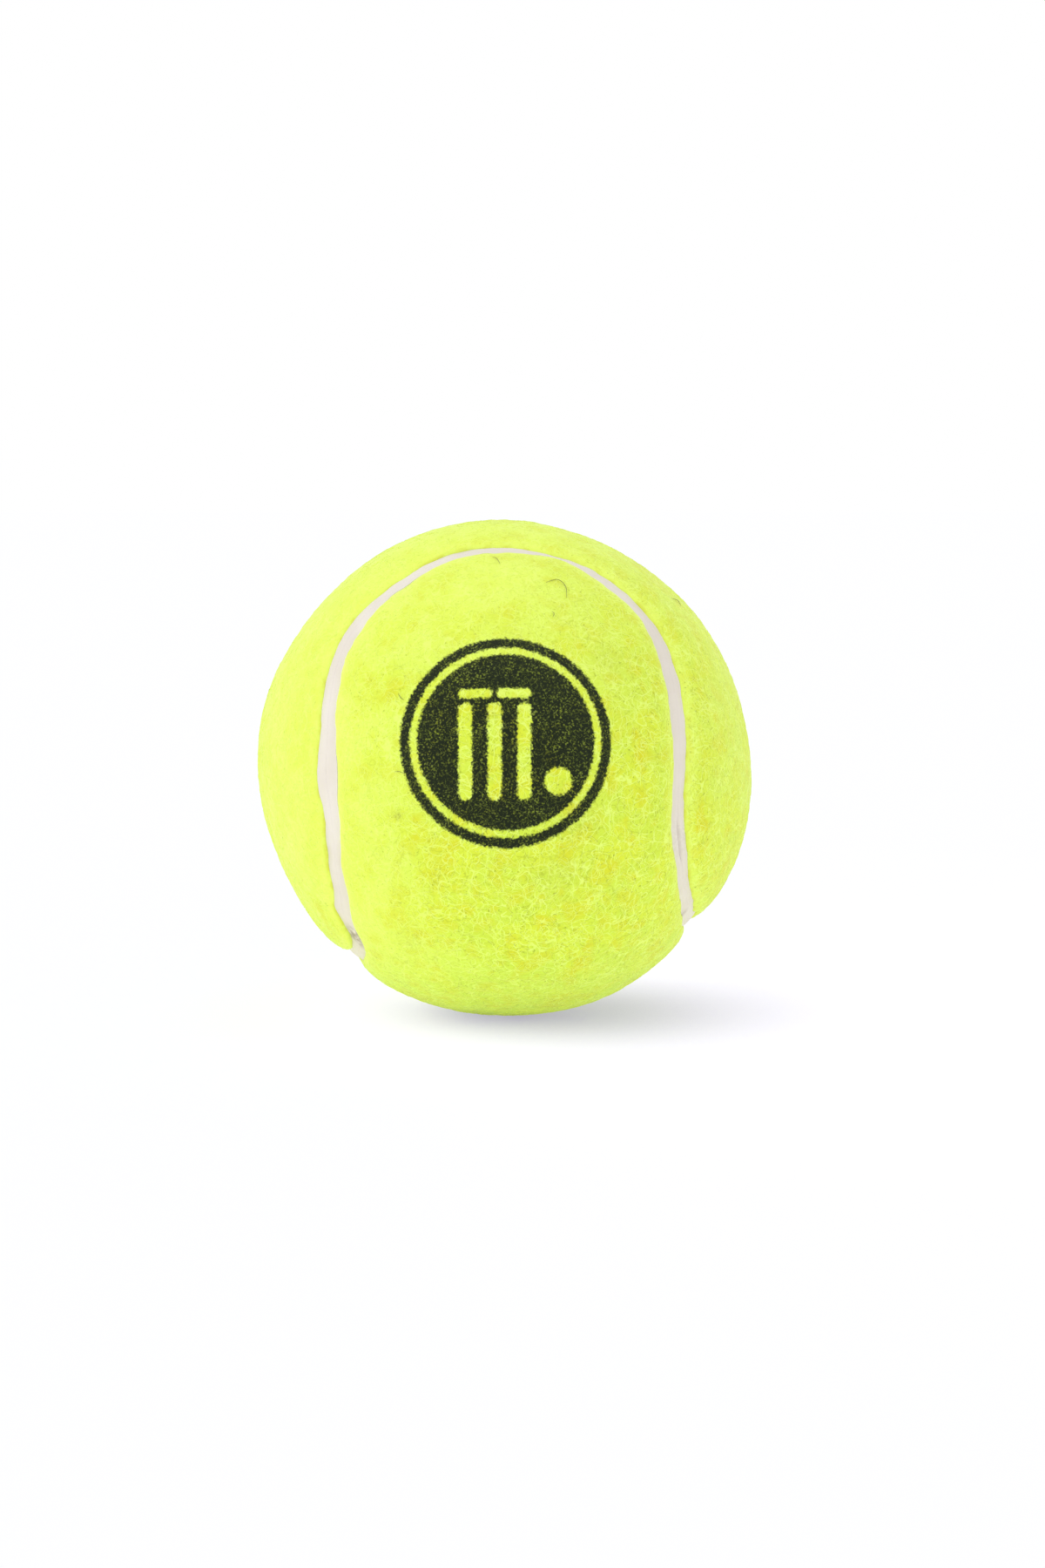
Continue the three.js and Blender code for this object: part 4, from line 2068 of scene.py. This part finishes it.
@dataclass(frozen=True)
class Studio:
    """Plain soft studio light over a plain white floor.

    Attributes:
        floor_height: Height of the floor in millimetres.
        floor_side: Side of the floor in metres.
        ambient: Strength of the light from all around.
        key_strength: Strength of the soft key light.
        key_softness_degrees: How wide the key light spreads.
        key_from: Direction that it comes from.
        floor_white: How white the floor is.
        floor_glow: How much the floor glows by itself, as a light table does.
        floor_seen: How white it is to the camera.
        far_lift: What is added to that for the camera.
        middle_lift: The same in the outer part of the ball's shade.
        near_lift: The same close to the ball, where it takes out the tint of the ball's own light.
        middle_shade: How open the floor is where the middle lift is whole, from 0 to 1.
        near_shade: The same for the near lift.
        shade_reach: How far the ball shades the floor, in metres.
        shade_lean: How far the shade leans away from the key light, to the right.
    """

    floor_height: float
    floor_side: float = 6.0
    ambient: float = 0.91
    key_strength: float = 0.7
    key_softness_degrees: float = 60.0
    key_from: Place = (-1.0, -0.2, 1.4)
    floor_white: float = 0.9
    floor_glow: float = 0.26
    floor_seen: Colour = (0.35, 0.35, 0.35)
    far_lift: Colour = (0.615, 0.615, 0.665)
    middle_lift: Colour = (0.72, 0.7, 0.81)
    near_lift: Colour = (0.34, 0.31, 0.45)
    middle_shade: float = 0.7
    near_shade: float = 0.1
    shade_reach: float = 0.16
    shade_lean: float = 1.1

    def _add_world(self) -> None:
        """Light from all around, which the camera sees as plain white."""
        graph = ShaderGraph("studio", of_world=True)
        rays = graph.node("ShaderNodeLightPath", {}).outputs
        straight = graph.highest(rays["Is Camera Ray"], rays["Is Transmission Ray"])
        seen = graph.highest(straight, rays["Is Glossy Ray"])
        light, plain = (
            graph.node("ShaderNodeBackground", {"Color": (1, 1, 1, 1), "Strength": strength})
            for strength in (self.ambient, 1.0)
        )
        ends = {0: seen, 1: light.outputs[0], 2: plain.outputs[0]}
        bpy.context.scene.world = graph.finish(ends, "ShaderNodeMixShader")

    def _add_key(self) -> None:
        """The soft key light, from the front on the left."""
        data = bpy.data.lights.new("key_light", "SUN")
        data.energy = self.key_strength
        data.angle = math.radians(self.key_softness_degrees)
        aim = Vector(self.key_from).to_track_quat("Z", "Y")
        place = Matrix.LocRotScale(Vector(self.key_from), aim, None)
        add_object(data.name, data).matrix_world = place

    def _add_floor(self) -> bpy.types.Object:
        """Adds the floor.

        Returns:
            The floor object.
        """
        graph = ShaderGraph("studio_floor")
        seen = graph.node("ShaderNodeLightPath", {}).outputs["Is Camera Ray"]
        colour = graph.mix(seen, (self.floor_white,) * 3, self.floor_seen)
        plain = graph.node("ShaderNodeBsdfDiffuse", {"Color": colour})
        away = {0: (-self.shade_lean, 0, 1)}
        lean = graph.node("ShaderNodeVectorMath", away, operation="NORMALIZE")
        inputs = {"Distance": self.shade_reach, "Normal": lean.outputs[0]}
        shade = graph.node("ShaderNodeAmbientOcclusion", inputs).outputs["AO"]
        middle = graph.fall(shade, self.middle_shade, 1.0)
        near = graph.fall(shade, self.near_shade, self.middle_shade)
        lift = graph.mix(middle, self.far_lift, self.middle_lift)
        lift = graph.mix(near, lift, self.near_lift)
        shown = graph.mix(seen, (self.floor_glow,) * 3, lift)
        glow = graph.node("ShaderNodeEmission", {"Color": shown})
        ends = {0: plain.outputs[0], 1: glow.outputs[0]}
        half, height = self.floor_side / 2, self.floor_height * METRES_PER_MM
        mesh = bpy.data.meshes.new("studio_floor")
        spots = [(x * half, y * half, height) for x, y in ((-1, -1), (1, -1), (1, 1), (-1, 1))]
        mesh.from_pydata(spots, [], [(0, 1, 2, 3)])
        mesh.materials.append(graph.finish(ends, "ShaderNodeAddShader"))
        return add_object("studio_floor", mesh)

    def build(self) -> None:
        """Adds the light, the floor and the plain colour rendering."""
        self._add_world()
        self._add_key()
        self._add_floor()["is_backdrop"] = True
        bpy.context.scene.view_settings.view_transform = "Standard"


# The ball


@dataclass
class Cover:
    """One felt panel with its nap and its edge coat.

    Attributes:
        side: Which cover it is.
        form: The ball's form.
        mark: The printed mark.
        openings: Where the edge coats have parted.
        cut_width: Width of the panel as it is cut flat, in metres. Not used.
        cut_length: Its length. Not used.
        cut_area: Its area in square metres. Not used.
    """

    side: Side
    form: BallForm
    mark: PrintedMark
    openings: tuple[Spot, ...]
    cut_width: float = 0.047
    cut_length: float = 0.148
    cut_area: float = 0.0059

    def build(self, finishes: dict[str, bpy.types.Material]) -> FeltPanel:
        """Makes the cover's pieces and hangs them on the body.

        Light passes through the thin fibres of the nap, so they shade nothing.

        Args:
            finishes: Materials by the record's slots and by the nap's own name.

        Returns:
            The felt panel.
        """
        name = self.side.value
        panel = FeltPanel(self.side, self.form, self.mark)
        felt = panel.mesh().make(f"felt_{name}", finishes["felt"])
        nap = Nap(panel).mesh(self.mark).make(f"nap_fibres_{name}", finishes["nap"])
        nap.visible_shadow = False
        nap.visible_diffuse = False
        coat = EdgeCoat(self.side, self.form, self.openings).mesh()
        seam = coat.make(f"seam_coat_{name}", finishes["seam_rubber"])
        for piece, slot in ((felt, "felt"), (nap, "felt"), (seam, "seam_rubber")):
            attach(piece, BODY)
            log.info("%s: %d faces", piece.name, len(piece.data.polygons))
        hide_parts(f"felt_panel_{name}")
        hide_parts(f"edge_coat_{name}")
        return panel


@dataclass
class TennisCricketBall:
    """The whole ball, built over the frame's nodes.

    The local changes are placed and measured by the photograph.

    Attributes:
        nodes: The frame's nodes by name.
        swellings: Where the ball bulges or draws in.
        seam_shifts: Where the seam leaves its ideal line.
        seam_widths: Where it is wider or narrower.
        smooth_and_lit_places: Where the nap lies smooth and the felt is painted paler as painted
            light, where the ball is lit and at its limbs; where the amount is below 0, it is
            rougher and darker.
        openings: Where the edge coats have parted.
        seam_stains: Where the seam is soiled.
        felt_stains_and_contact_shade: Where the felt is stained, and, in the last three, painted
            contact shade along the ball's bottom where it meets the floor.
        hair_traces: Stray hairs, as pixels along each.
    """

    nodes: dict[str, bpy.types.Object]
    swellings: tuple[Spot, ...] = (
        Spot((510, 590), 0.42, 15), Spot((326, 1006), -0.75, 9.5), Spot((840, 790), -0.2, 10),
        Spot((845, 985), 0.5, 10), Spot((678, 1148), 0.5, 9),
    )
    seam_shifts: tuple[Spot, ...] = (
        Spot((374, 812), 1.05, 9), Spot((375, 845), -0.5, 5), Spot((377, 888), -0.75, 4),
        Spot((391, 1040), 0.5, 4), Spot((394, 1062), -0.55, 3.5), Spot((397, 1080), 1.7, 4),
        Spot((403, 1100), 2.0, 8), Spot((404, 722), 0.3, 8), Spot((452, 672), 1.05, 8),
        Spot((500, 645), 0.95, 8), Spot((525, 637), -0.45, 4), Spot((556, 632), 0.7, 8),
        Spot((600, 632), 0.45, 8), Spot((660, 647), -0.35, 5), Spot((690, 664), 0.6, 9),
        Spot((772, 780), 0.6, 6.5), Spot((780, 845), -0.2, 5), Spot((781, 925), 0.55, 7),
        Spot((781, 965), 0.15, 5), Spot((781, 1003), -0.3, 5), Spot((787, 1052), 0.48, 3),
        Spot((779, 1060), -1.7, 5), Spot((790, 1074), -1.95, 8), Spot((784, 1077), -0.95, 3.5),
    )
    seam_widths: tuple[Spot, ...] = (
        Spot((377, 890), 1.3, 3.9), Spot((375, 800), 0.3, 9), Spot((389, 1025), 0.3, 9),
        Spot((394, 1062), 0.6, 3), Spot((399, 1087), 0.25, 2.5), Spot((422, 698), 0.8, 4.5),
        Spot((459, 668), -0.75, 6), Spot((615, 634), -0.9, 8), Spot((650, 643), -0.8, 5),
        Spot((685, 660), 0.7, 3), Spot((713, 680), -0.35, 3.5), Spot((750, 722), -0.3, 5),
        Spot((774, 795), 0.3, 9), Spot((780, 865), -0.25, 5), Spot((782, 915), -0.35, 5),
        Spot((781, 962), 0.2, 4), Spot((778, 1055), -0.4, 8), Spot((784, 1077), 0.45, 3.5),
    )
    # Partly painted light with smooth nap: paler felt where the ball is lit and at its limbs; the
    # negative spot is rougher, darker felt at the lower front.
    smooth_and_lit_places: tuple[Spot, ...] = (
        Spot((330, 870), 1.0, 22), Spot((400, 690), 0.6, 14), Spot((540, 605), 0.8, 17),
        Spot((570, 690), 0.4, 12), Spot((440, 1060), 0.8, 11), Spot((770, 640), 0.6, 14),
        Spot((862, 860), 0.55, 13), Spot((565, 1040), -0.45, 15),
    )
    openings: tuple[Spot, ...] = (Spot((774, 975), 0.34, 3.2),)
    seam_stains: tuple[Spot, ...] = (Spot((404, 1084), 1.0, 3.6), Spot((789, 1056), 0.8, 1.8))
    # The last three are painted contact shade along the ball's bottom, where it meets the floor.
    felt_stains_and_contact_shade: tuple[Spot, ...] = (
        Spot((457, 937), 0.9, 0.95), Spot((660, 940), 0.3, 4.5), Spot((640, 1000), 0.22, 6.0),
        Spot((700, 760), 0.2, 4.0), Spot((470, 1080), 0.16, 4.0), Spot((545, 1163), 0.75, 4.5),
        Spot((592, 1166), 0.9, 5.2), Spot((658, 1157), 0.65, 4.2),
    )
    hair_traces: tuple[tuple[Pixel, ...], ...] = (
        ((565.7, 639.2), (570.5, 641.5), (574.3, 647.8)),
        ((627, 668.9), (640.3, 665), (649.9, 672.7), (650.9, 686)),
        ((634, 702), (636.5, 705), (635, 708)),
        ((770.4, 687), (777, 690), (782, 695.7)),
        ((457.7, 796.6), (461, 801.5), (464.4, 804)),
        ((453.6, 886), (459, 885.5), (464.4, 887.8)),
    )

    def build(self) -> None:
        """Makes every piece and dresses the frame's inner nodes."""
        radius = self._nap_radius()
        view = PhotoView(radius)
        view.place_camera()
        form = BallForm(
            view,
            SeamCurve(),
            radius,
            seam_shifts=self.seam_shifts,
            seam_widths=self.seam_widths,
            swellings=self.swellings,
            smooth_and_lit_places=self.smooth_and_lit_places,
        )
        mark = PrintedMark(view)
        finishes = self._finishes(form)
        panels = [Cover(side, form, mark, self.openings).build(finishes) for side in Side]
        hairs = StrayHairs(panels, view, self.hair_traces).mesh()
        stray = hairs.make("stray_hairs", finishes["hair"])
        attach(stray, BODY)
        log.info("%s: %d faces", stray.name, len(stray.data.polygons))
        self._dress_inner_nodes(finishes)
        Studio(-radius).build()

    def _nap_radius(self) -> float:
        """Measures the frame's felt panels.

        Returns:
            The ball's radius in millimetres.
        """
        node = self.nodes["felt_panel_lower"].data
        places = np.empty(3 * len(node.vertices))
        node.vertices.foreach_get("co", places)
        return float(np.linalg.norm(places.reshape(-1, 3), axis=1).max()) / METRES_PER_MM

    def _finishes(self, form: BallForm) -> dict[str, bpy.types.Material]:
        """Builds the materials.

        Args:
            form: The ball's form.

        Returns:
            Materials by the record's slots and by the names of the added pieces.
        """
        on_seam = tuple(StainOrPaintedShade.at_spot(spot, form.view) for spot in self.seam_stains)
        on_felt_and_contact_shade = tuple(StainOrPaintedShade.at_spot(spot, form.view) for spot in self.felt_stains_and_contact_shade)
        return {
            "felt": FeltFinish(on_felt_and_contact_shade).material(),
            "nap": FibreFinish().material(),
            "hair": HairFinish().material(),
            "seam_rubber": SeamRubberFinish(on_seam).material(),
            "rubber_cement": InnerRubberFinish(
                "rubber_cement", (0.6, 0.52, 0.34), (0.7, 0.64, 0.46), 0.45, 1.2, 0.06
            ).material(),
            "core_rubber": InnerRubberFinish(
                "core_rubber", (0.065, 0.063, 0.06), (0.11, 0.105, 0.1), 0.6, 0.5, 0.08
            ).material(),
        }

    def _dress_inner_nodes(self, finishes: dict[str, bpy.types.Material]) -> None:
        """Gives the frame's core and cement nodes their finishes.

        Args:
            finishes: Materials by slot.
        """
        for name, node in self.nodes.items():
            if name.startswith("core_shell"):
                finish = finishes["core_rubber"]
            elif "cement" in name:
                finish = finishes["rubber_cement"]
            else:
                continue
            node.data.materials.clear()
            node.data.materials.append(finish)
            log.info("%s dressed in %s", name, finish.name)


def main() -> None:
    """Builds the ball over its frame."""
    logging.basicConfig(level=logging.INFO, format="%(name)s: %(message)s")
    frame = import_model()
    cad_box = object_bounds()
    TennisCricketBall(frame["nodes"]).build()
    boxes = {"cad": cad_box, "visual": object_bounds()}
    {name: [list(corner) for corner in box] for name, box in boxes.items()}


if __name__ == "__main__":
    main()
